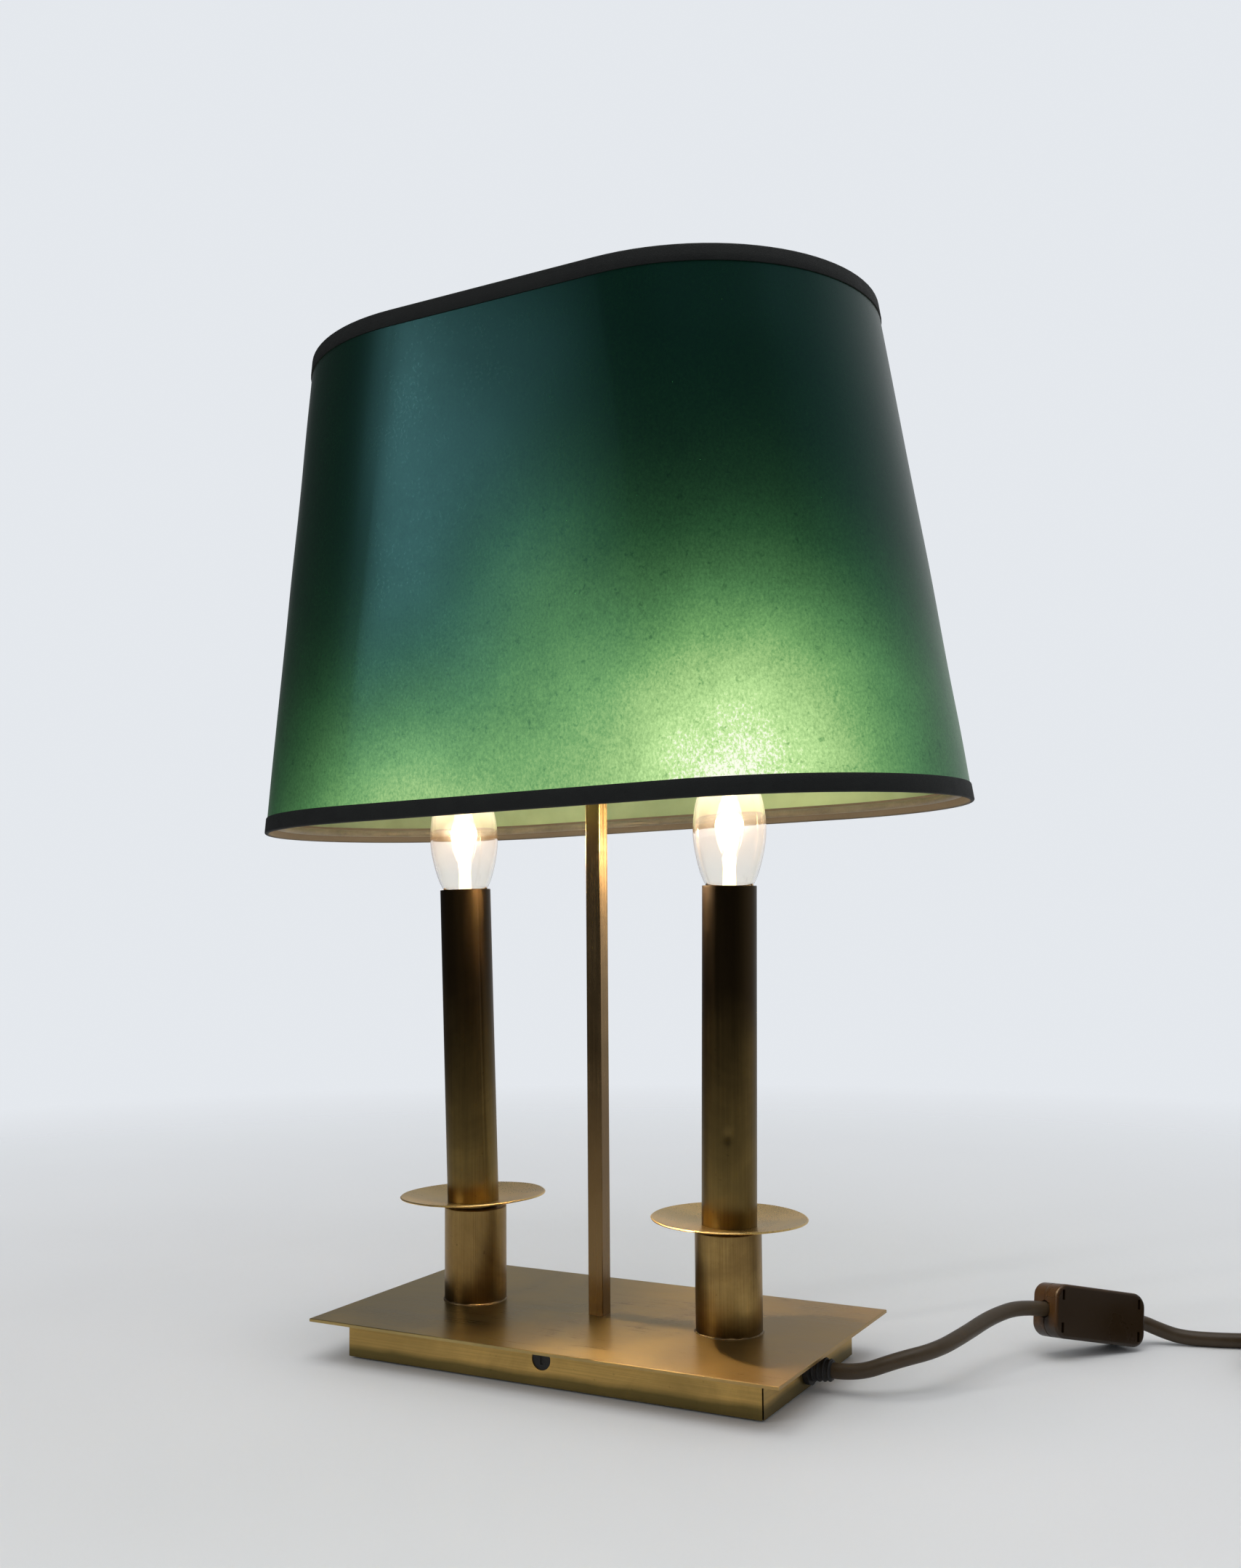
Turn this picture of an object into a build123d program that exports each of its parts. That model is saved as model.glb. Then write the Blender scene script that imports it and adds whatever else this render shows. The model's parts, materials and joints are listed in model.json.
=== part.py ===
"""Bouillotte lamp: brass base, two candles on drip pans, a square stem and an oval paper shade.

Millimetres. The origin is on the surface that the lamp stands on, under the centre of the base.
X runs along the base, from the left candle to the right one, Y towards the back, Z up.
"""

import os
from math import cos, pi, radians, sin, sqrt, tan

from build123d import *

os.makedirs("parts", exist_ok=True)

# --- driving dimensions -------------------------------------------------------------------------
# base
plate_length = 244.0
plate_width = 140.0
plate_thickness = 1.5
tray_length = 218.0
tray_width = 112.0
tray_height = 18.0
sheet = 1.2  # brass sheet of the tray
corner_slit = 0.7
fold_radius = 1.0
felt_thickness = 1.5
felt_proud = 1.0  # how far the felt stands below the tray's edge
felt_inset = 3.0
cover_thickness = 1.5
cover_gap = 0.3
pillar_radius = 4.0
pillar_inset = 9.0
cover_screw_radius = 1.5
cover_screw_length = 8.0
cover_head_radius = 2.9
ballast_length = 190.0
ballast_width = 20.0
ballast_height = 8.0
ballast_offset = 31.0
front_hole_radius = 4.9
front_hole_drop = 5.0  # hole centre below the tray's inner roof
front_plug_recess = 0.7
front_plug_flange = 14.0
front_plug_depth = 2.5

# candles
candle_spacing = 140.6
candle_shift = -1.4  # middle of the pair from the centre of the base
lean_left = -1.7  # degrees, towards -X
lean_right = 0.8
socket_radius = 15.7
socket_wall = 1.2
socket_height = 46.2
socket_cap_thickness = 2.0
socket_cap_play = 0.05
rod_radius = 5.0
rod_bore = 3.75
rod_hole_play = 0.25
rod_sway = 1.6  # room round the rod in the socket's cap, because the candles lean
lock_nut_flats = 14.0
lock_nut_height = 4.0
pan_nut_height = 3.0
nut_play = 0.05
seat_gap = 0.45
seat_radius = 12.0
seat_thickness = 1.5
pan_radius = 36.8
pan_flat_radius = 15.0
pan_depth = 3.5
pan_sheet = 0.8
candle_radius = 13.0
candle_wall = 0.8
candle_length = 158.5

# lampholder and bulb
holder_play = 0.4
holder_drop = 9.0  # top of the lampholder below the candle's rim
holder_length = 66.0
holder_thread = 12.0  # how far the rod goes into it
holder_wall = 2.6
shell_thickness = 1.0
shell_length = 17.0
shell_play = 0.08
contact_width = 4.0
contact_thickness = 0.6
contact_gap = 0.1  # below the bulb's tip
cap_radius = 6.95
cap_length = 16.5
cap_wall = 0.6
tip_radius = 2.4
tip_height = 1.6
bulb_seat = 0.6  # skirt of the bulb's cap above the lampholder
bulb_height = 74.0
bulb_radius = 17.5
glass_wall = 0.8
mount_radius = 3.0
mount_height = 24.0
lead_radius = 0.4
lead_height = 12.0
lead_spread = 6.0
filament_radius = 0.45
filament_rise = 3.0

# stem and shade carrier
stem_side = 8.0
stem_top = 508.0
stem_screw_radius = 2.5
stem_screw_depth = 14.0
stem_head_radius = 5.5
stem_head_height = 4.0
carrier_radius = 8.0
carrier_length = 24.0
carrier_drop = 30.0  # seat of the spider below the stem's top
carrier_play = 0.1
flange_radius = 13.0
flange_thickness = 3.0
neck_radius = 7.0
ring_nut_radius = 11.0
ring_nut_height = 5.0
thread_play = 0.06
key_radius = 2.0
key_drop = 14.0
key_play = 0.15
key_reach = 10.0
key_head_radius = 7.0
key_head_thickness = 2.4
finial_radius = 6.5
finial_height = 16.0
finial_collar = 2.4
finial_neck_radius = 2.8
finial_ball_radius = 5.0
finial_stud_radius = 2.0
finial_stud_length = 10.0

# shade: sizes of the paper's outer face
shade_low_length = 367.4
shade_low_width = 193.4
shade_high_length = 298.8
shade_high_width = 187.6
shade_height = 240.6
shade_drop = 216.4  # paper's lower edge, at the stem, below the spider's seat
shade_lean = 1.5  # degrees, the right end higher
lean_height = 100.0  # height in the shade about which it leans
paper = 0.6
lining = 0.6
tape = 0.6
tape_height = 7.2
glue = 0.03  # between paper, lining and tape
spare = 1.0  # cutting solids run past what they cut
wire_radius = 1.8
wire_play = 0.25
wire_inset = 4.0  # ring's centre from the paper's edge
arm_radius = 1.8
arm_start = 14.5  # from the stem's axis, outside the carrier's flange
washer_radius = 16.0
washer_thickness = 2.0

# cord
cord_radius = 3.5
exit_y = -3.4
exit_drop = 9.0  # cord's centre below the tray's roof
relief_flange_radius = 7.5
relief_flange = 2.5
relief_neck_radius = 5.0
relief_lip_radius = 6.0
relief_inside = 9.0  # length behind the sheet
relief_radius = 5.4
relief_tip_radius = 4.3
relief_length = 12.0  # length outside the tray
relief_play = 0.1
sheath_length = 24.0  # cord inside the tray
clamp_width = 9.0
clamp_wall = 2.0
block_length = 24.0
block_width = 17.0
block_height = 10.0
block_x = 34.0
wire_thickness = 1.1  # radius over its insulation
wire_height = 5.0
wire_bite = 4.0  # length held in the block
wire_straight = 14.0

# in-line switch
switch_length = 53.0
switch_width = 25.2
switch_thickness = 18.6
switch_corner = 6.5
switch_edge = 1.6
switch_wall = 1.8
switch_x = 209.5
switch_y = 116.3
switch_turn = 49.0  # degrees from X
switch_pitch = -11.4
switch_roll = 9.0
switch_mouth = 8.2
switch_grip = 4.0  # length of cord inside the case
grip_rib = 2.0
grip_rib_width = 10.0
clip_slot_width = 1.4
clip_slot_length = 4.6
clip_slot_inset = 4.0
clip_slot_spread = 0.3  # share of the width
pivot_above_floor = 1.4
lug_length = 5.2
lug_width = 1.8
lug_height = 3.2
rocker_length = 13.0
rocker_width = 8.6
rocker_gap = 0.6
rocker_depth = 2.2  # below its pivot
rocker_proud = 1.3
rocker_dip = 0.4
rocker_pin = 1.2
rocker_pin_play = 0.06
rocker_throw = 8.0
terminal_x = 13.0
terminal_y = 4.0
terminal_side = 5.0

# stored cord and plug
coil_x = 328.0
coil_y = 128.0
coil_layers = 4
coil_columns = 2
coil_middle_radius = 38.5
tie_width = 9.0
tie_thickness = 0.8
tie_angle = 20.0
plug_length = 32.0
plug_width = 36.0
plug_thickness = 26.0
plug_corner = 9.0
plug_sleeve_length = 22.0
plug_sleeve_radius = 6.2
pin_radius = 2.4
pin_length = 19.0
pin_spacing = 19.0

# --- heights and places that follow -------------------------------------------------------------
carrier_top = stem_top - carrier_drop
shade_low = carrier_top - shade_drop
tray_top = felt_proud + tray_height
tray_roof = tray_top - sheet
plate_top = tray_top + plate_thickness
cover_top = felt_thickness + cover_thickness
inner_length = tray_length - 2 * sheet
inner_width = tray_width - 2 * sheet
front_hole_z = tray_roof - front_hole_drop
cord_z = tray_top - exit_drop
pan_under = socket_height + seat_gap + seat_thickness
pan_top = pan_under + pan_sheet
candle_rim = pan_top + candle_length
holder_top = candle_rim - holder_drop
holder_low = holder_top - holder_length
holder_radius = candle_radius - candle_wall - holder_play
rod_top = holder_low + holder_thread
bulb_base = holder_top + bulb_seat
shell_radius = cap_radius + shell_play
shell_low = holder_top - shell_length
cap_low = bulb_base - cap_length
tip_low = cap_low - tip_height
sides = {
    "left": (candle_shift - candle_spacing / 2, lean_left),
    "right": (candle_shift + candle_spacing / 2, lean_right),
}
candle_planes = {
    side: Plane(origin=(x, 0, plate_top), x_dir=(cos(radians(lean)), 0, -sin(radians(lean))),
                z_dir=(sin(radians(lean)), 0, cos(radians(lean))))
    for side, (x, lean) in sides.items()
}
shade_plane = Plane(
    origin=(0, 0, shade_low + lean_height),
    x_dir=(cos(radians(shade_lean)), 0, sin(radians(shade_lean))),
    z_dir=(-sin(radians(shade_lean)), 0, cos(radians(shade_lean))),
)


def save(builder, name):
    """Labels a finished piece and writes it under its node's name."""
    builder.part.label = name
    export_step(builder.part, f"parts/{name}.step")


# --- base ---------------------------------------------------------------------------------------
stem_hole_radius = stem_screw_radius + rod_hole_play
rod_hole_radius = rod_radius + rod_hole_play

with BuildPart() as base_plate:
    with BuildSketch(Plane.XY.offset(tray_top)):
        Rectangle(plate_length, plate_width)
        Circle(stem_hole_radius, mode=Mode.SUBTRACT)
        with Locations(*[(x, 0) for x, lean in sides.values()]):
            Circle(rod_hole_radius, mode=Mode.SUBTRACT)
    extrude(amount=plate_thickness)
    outer = base_plate.faces().sort_by(Axis.Z)[-1].outer_wire().edges()
    chamfer(outer, plate_thickness / 6)
save(base_plate, "base_plate")

with BuildPart() as base_tray:
    with BuildSketch(Plane.XY.offset(felt_proud)):
        Rectangle(tray_length, tray_width)
    extrude(amount=tray_height)
    fillet(base_tray.faces().sort_by(Axis.Z)[-1].edges(), fold_radius)
    with BuildSketch(Plane.XY.offset(felt_proud)):
        Rectangle(inner_length, inner_width)
    extrude(amount=tray_height - sheet, mode=Mode.SUBTRACT)
    # slits where the folded walls meet
    slit_height = tray_height - sheet - fold_radius
    for sx in (-1, 1):
        for sy in (-1, 1):
            with BuildSketch(Plane.XY.offset(felt_proud)):
                with Locations((sx * (tray_length - sheet) / 2, sy * (tray_width - sheet) / 2)):
                    Rectangle(4 * sheet, corner_slit, rotation=45 * sx * sy)
            extrude(amount=slit_height, mode=Mode.SUBTRACT)
    with BuildSketch(Plane.XY.offset(tray_roof)):
        Circle(stem_hole_radius)
        with Locations(*[(x, 0) for x, lean in sides.values()]):
            Circle(rod_hole_radius)
    extrude(amount=sheet, mode=Mode.SUBTRACT)
    with BuildSketch(Plane.XZ.offset(inner_width / 2)):
        with Locations((0, front_hole_z)):
            Circle(front_hole_radius)
    extrude(amount=sheet, mode=Mode.SUBTRACT)
    with BuildSketch(Plane.YZ.offset(inner_length / 2)):
        with Locations((exit_y, cord_z)):
            Circle(relief_neck_radius + relief_play)
    extrude(amount=sheet, mode=Mode.SUBTRACT)
save(base_tray, "base_tray")

# rubber plug behind the hole in the tray's front
with BuildPart() as front_plug:
    with BuildSketch(Plane.XZ.offset(inner_width / 2 - front_plug_depth)):
        with Locations((0, front_hole_z)):
            Rectangle(front_plug_flange, 2 * front_hole_radius)
    extrude(amount=front_plug_depth)
    with BuildSketch(Plane.XZ.offset(inner_width / 2)):
        with Locations((0, front_hole_z)):
            Circle(front_hole_radius)
            Rectangle(front_hole_radius / 3, front_hole_radius, mode=Mode.SUBTRACT)
    extrude(amount=sheet - front_plug_recess)
save(front_plug, "front_plug")

pillar_x = inner_length / 2 - pillar_inset
pillar_y = inner_width / 2 - pillar_inset
pillar_places = [(sx * pillar_x, sy * pillar_y) for sx in (-1, 1) for sy in (-1, 1)]

with BuildPart() as cover_pillars:
    with BuildSketch(Plane.XY.offset(cover_top)):
        with Locations(*pillar_places):
            Circle(pillar_radius)
    extrude(amount=tray_roof - cover_top)
    with BuildSketch(Plane.XY.offset(cover_top)):
        with Locations(*pillar_places):
            Circle(cover_screw_radius)
    extrude(amount=cover_screw_length, mode=Mode.SUBTRACT)
save(cover_pillars, "cover_pillars")

with BuildPart() as bottom_cover:
    with BuildSketch(Plane.XY.offset(felt_thickness)):
        Rectangle(inner_length - 2 * cover_gap, inner_width - 2 * cover_gap)
    extrude(amount=cover_thickness)
    for x, y in pillar_places:
        with BuildSketch(Plane.XY.offset(felt_thickness)):
            with Locations((x, y)):
                Circle(cover_head_radius)
        with BuildSketch(Plane.XY.offset(cover_top)):
            with Locations((x, y)):
                Circle(cover_screw_radius)
        loft(mode=Mode.SUBTRACT)
save(bottom_cover, "bottom_cover")

with BuildPart() as cover_screws:
    for x, y in pillar_places:
        with BuildSketch(Plane.XY.offset(felt_thickness)):
            with Locations((x, y)):
                Circle(cover_head_radius)
        with BuildSketch(Plane.XY.offset(cover_top)):
            with Locations((x, y)):
                Circle(cover_screw_radius)
        loft()
    with BuildSketch(Plane.XY.offset(cover_top)):
        with Locations(*pillar_places):
            Circle(cover_screw_radius)
    extrude(amount=cover_screw_length)
save(cover_screws, "cover_screws")

with BuildPart() as base_felt:
    with BuildSketch():
        RectangleRounded(inner_length - 2 * felt_inset, inner_width - 2 * felt_inset, felt_inset)
    extrude(amount=felt_thickness)
save(base_felt, "base_felt")

with BuildPart() as ballast_bars:
    with BuildSketch(Plane.XY.offset(cover_top)):
        with Locations((0, -ballast_offset), (0, ballast_offset)):
            Rectangle(ballast_length, ballast_width)
    extrude(amount=ballast_height)
save(ballast_bars, "ballast_bars")

# --- candles ------------------------------------------------------------------------------------
for side, (x, lean) in sides.items():
    with BuildPart() as socket_tube:
        with BuildSketch(Plane.XY.offset(plate_top)):
            with Locations((x, 0)):
                Circle(socket_radius)
                Circle(socket_radius - socket_wall, mode=Mode.SUBTRACT)
        extrude(amount=socket_height)
    save(socket_tube, f"socket_tube_{side}")

with BuildPart() as socket_caps:
    with BuildSketch(Plane.XY.offset(plate_top + socket_height - socket_cap_thickness)):
        for x, lean in sides.values():
            with Locations((x, 0)):
                Circle(socket_radius - socket_wall - socket_cap_play)
                Circle(rod_radius + rod_sway, mode=Mode.SUBTRACT)
    extrude(amount=socket_cap_thickness)
save(socket_caps, "socket_caps")

rod_low = tray_roof - plate_top - lock_nut_height - 2 * seat_gap
nut_tops = {
    "lock_nuts": (tray_roof - plate_top - seat_gap, lock_nut_height),
    "pan_nuts": (pan_top + pan_nut_height, pan_nut_height),
}

with BuildPart() as candle_rods:
    for plane in candle_planes.values():
        with BuildSketch(plane.offset(rod_low)):
            Circle(rod_radius)
            Circle(rod_bore, mode=Mode.SUBTRACT)
        extrude(amount=rod_top - rod_low)
save(candle_rods, "candle_rods")

for name, (top, height) in nut_tops.items():
    with BuildPart() as nuts:
        for plane in candle_planes.values():
            with BuildSketch(plane.offset(top - height)):
                RegularPolygon(lock_nut_flats / 2, 6, major_radius=False)
                Circle(rod_radius + nut_play, mode=Mode.SUBTRACT)
            extrude(amount=height)
    save(nuts, name)

with BuildPart() as seat_washers:
    for plane in candle_planes.values():
        with BuildSketch(plane.offset(socket_height + seat_gap)):
            Circle(seat_radius)
            Circle(rod_hole_radius, mode=Mode.SUBTRACT)
        extrude(amount=seat_thickness)
save(seat_washers, "seat_washers")


def turned(plane):
    """Drawing plane of a turned piece: X is the radius and Y the height along the plane's axis."""
    return Plane(origin=plane.origin, x_dir=plane.x_dir, z_dir=-plane.y_dir)


def turned_axis(plane):
    return Axis(plane.origin, plane.z_dir)


bulb_outline = [
    # share of the bulb's radius, share of its height
    (0.405, 0.0),
    (0.475, 0.045),
    (0.63, 0.108),
    (0.8, 0.2),
    (0.95, 0.345),
    (1.0, 0.475),
    (0.945, 0.62),
    (0.76, 0.765),
    (0.49, 0.885),
    (0.235, 0.96),
]

for side, plane in candle_planes.items():
    with BuildPart() as drip_pan:
        with BuildSketch(turned(plane)):
            with BuildLine():
                FilletPolyline(
                    (rod_hole_radius, pan_under),
                    (pan_flat_radius, pan_under),
                    (pan_radius - pan_sheet / 2, pan_under + pan_depth),
                    (pan_radius, pan_under + pan_depth + pan_sheet),
                    (pan_radius - pan_sheet, pan_under + pan_depth + pan_sheet),
                    (pan_flat_radius, pan_top),
                    (rod_hole_radius, pan_top),
                    radius=[8.0, pan_sheet / 4, pan_sheet / 4, pan_sheet / 4, 8.0],
                )
                Line((rod_hole_radius, pan_top), (rod_hole_radius, pan_under))
            make_face()
        revolve(axis=turned_axis(plane))
    save(drip_pan, f"drip_pan_{side}")

    with BuildPart() as candle_tube:
        with BuildSketch(plane.offset(pan_top)):
            Circle(candle_radius)
            Circle(candle_radius - candle_wall, mode=Mode.SUBTRACT)
        extrude(amount=candle_length)
        chamfer(candle_tube.edges().group_by(Axis.Z)[-1], candle_wall / 5)
    save(candle_tube, f"candle_tube_{side}")

    with BuildPart() as lampholder:
        with BuildSketch(plane.offset(holder_low)):
            Circle(holder_radius)
            Circle(rod_radius + nut_play, mode=Mode.SUBTRACT)
        extrude(amount=holder_length)
        cavity_low = rod_top + holder_wall
        with BuildSketch(plane.offset(cavity_low)):
            Circle(holder_radius - holder_wall)
        extrude(amount=shell_low - holder_wall - cavity_low, mode=Mode.SUBTRACT)
        with BuildSketch(plane.offset(shell_low - holder_wall)):
            Circle(shell_radius + shell_thickness - holder_wall / 2)
        extrude(amount=holder_wall, mode=Mode.SUBTRACT)
        with BuildSketch(plane.offset(shell_low)):
            Circle(shell_radius + shell_thickness)
        extrude(amount=shell_length, mode=Mode.SUBTRACT)
    save(lampholder, f"lampholder_{side}")

    with BuildPart() as bulb_cap:
        with BuildSketch(plane.offset(cap_low)):
            Circle(cap_radius)
        extrude(amount=cap_length)
        with BuildSketch(plane.offset(cap_low + cap_wall)):
            Circle(cap_radius - cap_wall)
        extrude(amount=cap_length, mode=Mode.SUBTRACT)
        with BuildSketch(plane.offset(tip_low)):
            Circle(tip_radius)
        extrude(amount=tip_height)
    save(bulb_cap, f"bulb_cap_{side}")

    with BuildPart() as bulb_glass:
        for shrink, mode in ((0, Mode.ADD), (glass_wall, Mode.SUBTRACT)):
            points = [(r * bulb_radius - shrink, bulb_base + h * bulb_height) for r, h in bulb_outline]
            tip = bulb_base + bulb_height - shrink
            with BuildSketch(turned(plane)):
                with BuildLine():
                    Spline(*points, (0, tip), tangents=[(0.3 * bulb_height, bulb_height), (-bulb_height, 0)])
                    Polyline((0, tip), (0, points[0][1]), points[0])
                make_face()
            revolve(axis=turned_axis(plane), mode=mode)
    save(bulb_glass, f"bulb_glass_{side}")

    with BuildPart() as bulb_mount:
        with BuildSketch(plane.offset(cap_low + cap_wall)):
            Circle(mount_radius)
        with BuildSketch(plane.offset(bulb_base + mount_height)):
            Circle(mount_radius / 2)
        loft()
        for sx in (-1, 1):
            foot = plane.from_local_coords((sx * mount_radius / 4, 0, bulb_base + mount_height - 1))
            head = plane.from_local_coords((sx * lead_spread, 0, bulb_base + mount_height + lead_height))
            with BuildSketch(Plane(origin=foot, z_dir=head - foot)):
                Circle(lead_radius)
            extrude(amount=(head - foot).length)
    save(bulb_mount, f"bulb_mount_{side}")

    with BuildPart() as bulb_filament:
        ends = bulb_base + mount_height + lead_height + lead_radius
        with BuildLine(turned(plane)) as loop:
            ThreePointArc((-lead_spread, ends), (0, ends + filament_rise), (lead_spread, ends))
        with BuildSketch(Plane(origin=loop.line @ 0, z_dir=loop.line % 0)):
            Circle(filament_radius)
        sweep(path=loop.line)
    save(bulb_filament, f"bulb_filament_{side}")

with BuildPart() as lampholder_shells:
    for plane in candle_planes.values():
        with BuildSketch(plane.offset(shell_low)):
            Circle(shell_radius + shell_thickness)
            Circle(shell_radius, mode=Mode.SUBTRACT)
        extrude(amount=shell_length)
save(lampholder_shells, "lampholder_shells")

with BuildPart() as lampholder_contacts:
    contact_low = rod_top + holder_wall
    contact_high = tip_low - contact_gap
    for plane in candle_planes.values():
        with BuildSketch(turned(plane)):
            with BuildLine():
                Polyline(
                    (contact_width, contact_low),
                    (contact_width, contact_low + contact_thickness),
                    (contact_thickness - contact_width / 2, contact_low + contact_thickness),
                    (contact_thickness - contact_width / 2, contact_high - contact_thickness),
                    (contact_width / 2, contact_high - contact_thickness),
                    (contact_width / 2, contact_high),
                    (-contact_width / 2, contact_high),
                    (-contact_width / 2, contact_low),
                    close=True,
                )
            make_face()
        extrude(amount=contact_width / 2, both=True)
save(lampholder_contacts, "lampholder_contacts")

# --- stem, carrier and finial -------------------------------------------------------------------
with BuildPart() as stem:
    with BuildSketch(Plane.XY.offset(plate_top)):
        Rectangle(stem_side, stem_side)
    extrude(amount=stem_top - plate_top)
    chamfer(stem.edges().filter_by(Axis.Z), 0.25)
    with BuildSketch(Plane.XY.offset(plate_top)):
        Circle(stem_screw_radius)
    extrude(amount=stem_screw_depth, mode=Mode.SUBTRACT)
    with BuildSketch(Plane.XY.offset(stem_top - finial_stud_length)):
        Circle(finial_stud_radius)
    extrude(amount=finial_stud_length, mode=Mode.SUBTRACT)
save(stem, "stem")

with BuildPart() as stem_screw:
    with BuildSketch(Plane.XY.offset(tray_roof - stem_head_height)):
        RegularPolygon(stem_head_radius, 6)
    extrude(amount=stem_head_height)
    with BuildSketch(Plane.XY.offset(tray_roof)):
        Circle(stem_screw_radius)
    extrude(amount=plate_top + stem_screw_depth - tray_roof)
save(stem_screw, "stem_screw")

with BuildPart() as shade_carrier:
    with BuildSketch(Plane.XY.offset(carrier_top - carrier_length)):
        Circle(carrier_radius)
    extrude(amount=carrier_length)
    with BuildSketch(Plane.XY.offset(carrier_top - flange_thickness)):
        Circle(flange_radius)
    extrude(amount=flange_thickness)
    with BuildSketch(Plane.XY.offset(carrier_top)):
        Circle(neck_radius)
    extrude(amount=washer_thickness + ring_nut_height)
    with BuildSketch(Plane.XY.offset(carrier_top - carrier_length)):
        Rectangle(stem_side + 2 * carrier_play, stem_side + 2 * carrier_play)
    extrude(amount=carrier_length + washer_thickness + ring_nut_height, mode=Mode.SUBTRACT)
    with BuildSketch(Plane.XZ):
        with Locations((0, carrier_top - key_drop)):
            Circle(key_radius + thread_play)
    extrude(amount=carrier_radius, mode=Mode.SUBTRACT)
save(shade_carrier, "shade_carrier")

with BuildPart() as clamp_key:
    with BuildSketch(Plane.XZ.offset(stem_side / 2 + key_play)):
        with Locations((0, carrier_top - key_drop)):
            Circle(key_radius)
    extrude(amount=key_reach)
    head_y = -(stem_side / 2 + key_play + key_reach + key_head_radius - key_radius / 2)
    with BuildSketch(Plane.YZ.offset(-key_head_thickness / 2)):
        with Locations((head_y, carrier_top - key_drop)):
            Ellipse(key_head_radius, key_head_radius * 0.8)
    extrude(amount=key_head_thickness)
save(clamp_key, "clamp_key")

with BuildPart() as ring_nut:
    with BuildSketch(Plane.XY.offset(carrier_top + washer_thickness)):
        Circle(ring_nut_radius)
        Circle(neck_radius + thread_play, mode=Mode.SUBTRACT)
        with PolarLocations(ring_nut_radius, 24):
            Circle(0.6, mode=Mode.SUBTRACT)
    extrude(amount=ring_nut_height)
save(ring_nut, "ring_nut")

with BuildPart() as finial:
    with BuildSketch(Plane.XY.offset(stem_top - finial_stud_length)):
        Circle(finial_stud_radius)
    extrude(amount=finial_stud_length)
    with BuildSketch(Plane.XY.offset(stem_top)):
        Circle(finial_radius)
    extrude(amount=finial_collar)
    with BuildSketch(Plane.XY.offset(stem_top + finial_collar)):
        Circle(finial_neck_radius)
    extrude(amount=finial_height - finial_collar - finial_ball_radius)
    with Locations((0, 0, stem_top + finial_height - finial_ball_radius)):
        Sphere(finial_ball_radius)
save(finial, "finial")


# --- shade --------------------------------------------------------------------------------------
def oval_size(height):
    """Length and width of the paper's outer face at a height above its lower edge."""
    share = height / shade_height
    return (
        shade_low_length + share * (shade_high_length - shade_low_length),
        shade_low_width + share * (shade_high_width - shade_low_width),
    )


def oval_solid(low, high, grow):
    """The shade's oval, larger all round by grow, lofted between two heights."""
    with BuildPart() as solid:
        for height in (low, high):
            length, width = oval_size(height)
            with BuildSketch(shade_plane.offset(height - lean_height)):
                SlotOverall(length + 2 * grow, width + 2 * grow)
        loft(ruled=True)
    return solid.part


def oval_wall(low, high, grow, thickness):
    """A wall of the shade between two heights; its outer face is grown, its inner one a thickness inside."""
    outer = oval_solid(low, high, grow)
    inner = oval_solid(low - spare, high + spare, grow - thickness)
    with BuildPart() as wall:
        add(outer)
        add(inner, mode=Mode.SUBTRACT)
    return wall


shade_paper = oval_wall(0, shade_height, 0, paper)
save(shade_paper, "shade_paper")

shade_lining = oval_wall(0, shade_height, -paper - glue, lining)
save(shade_lining, "shade_lining")

# black tape folded over each edge
wall_thickness = paper + glue + lining
tape_bands = {
    "tape_low": (-tape - glue, tape_height, -glue, tape_height + spare),
    "tape_high": (
        shade_height - tape_height,
        shade_height + tape + glue,
        shade_height - tape_height - spare,
        shade_height + glue,
    ),
}
for name, (low, high, slot_low, slot_high) in tape_bands.items():
    band = oval_wall(low, high, glue + tape, wall_thickness + 2 * glue + 2 * tape)
    slot = oval_wall(slot_low, slot_high, glue, wall_thickness + 2 * glue)
    with BuildPart() as shade_tape:
        add(band.part)
        add(slot.part, mode=Mode.SUBTRACT)
    save(shade_tape, name)

tape_inner = -wall_thickness - glue - tape
ring_grow = tape_inner - wire_radius - wire_play


def ring_path(height):
    """Centre line of a wire ring, and the size of its oval."""
    length, width = oval_size(height)
    length += 2 * ring_grow
    width += 2 * ring_grow
    flat = (length - width) / 2
    with BuildLine(shade_plane.offset(height - lean_height)) as path:
        Line((-flat, -width / 2), (flat, -width / 2))
        ThreePointArc((flat, -width / 2), (length / 2, 0), (flat, width / 2))
        Line((flat, width / 2), (-flat, width / 2))
        ThreePointArc((-flat, width / 2), (-length / 2, 0), (-flat, -width / 2))
    return path.line, length, width


with BuildPart() as shade_rings:
    for height in (wire_inset, shade_height - wire_inset):
        path = ring_path(height)[0]
        with BuildSketch(Plane(origin=path @ 0, z_dir=path % 0)):
            Circle(wire_radius)
        sweep(path=path)
save(shade_rings, "shade_rings")

# washer with four arms, welded to the upper ring
top_length, top_width = ring_path(shade_height - wire_inset)[1:]
ring_height = shade_height - wire_inset - lean_height
hub_height = carrier_top + washer_thickness / 2
with BuildPart() as shade_spider:
    with BuildSketch(Plane.XY.offset(carrier_top)):
        Circle(washer_radius)
        Circle(neck_radius + thread_play, mode=Mode.SUBTRACT)
    extrude(amount=washer_thickness)
    for dx, dy in ((1, 0), (-1, 0), (0, 1), (0, -1)):
        start = Vector(dx * arm_start, dy * arm_start, hub_height)
        end = shade_plane.from_local_coords((dx * top_length / 2, dy * top_width / 2, ring_height))
        with BuildSketch(Plane(origin=start, z_dir=end - start)):
            Circle(arm_radius)
        extrude(amount=(end - start).length)
save(shade_spider, "shade_spider")

# --- cord at the base ---------------------------------------------------------------------------
wall_x = tray_length / 2
relief_end = wall_x + relief_length


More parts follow.
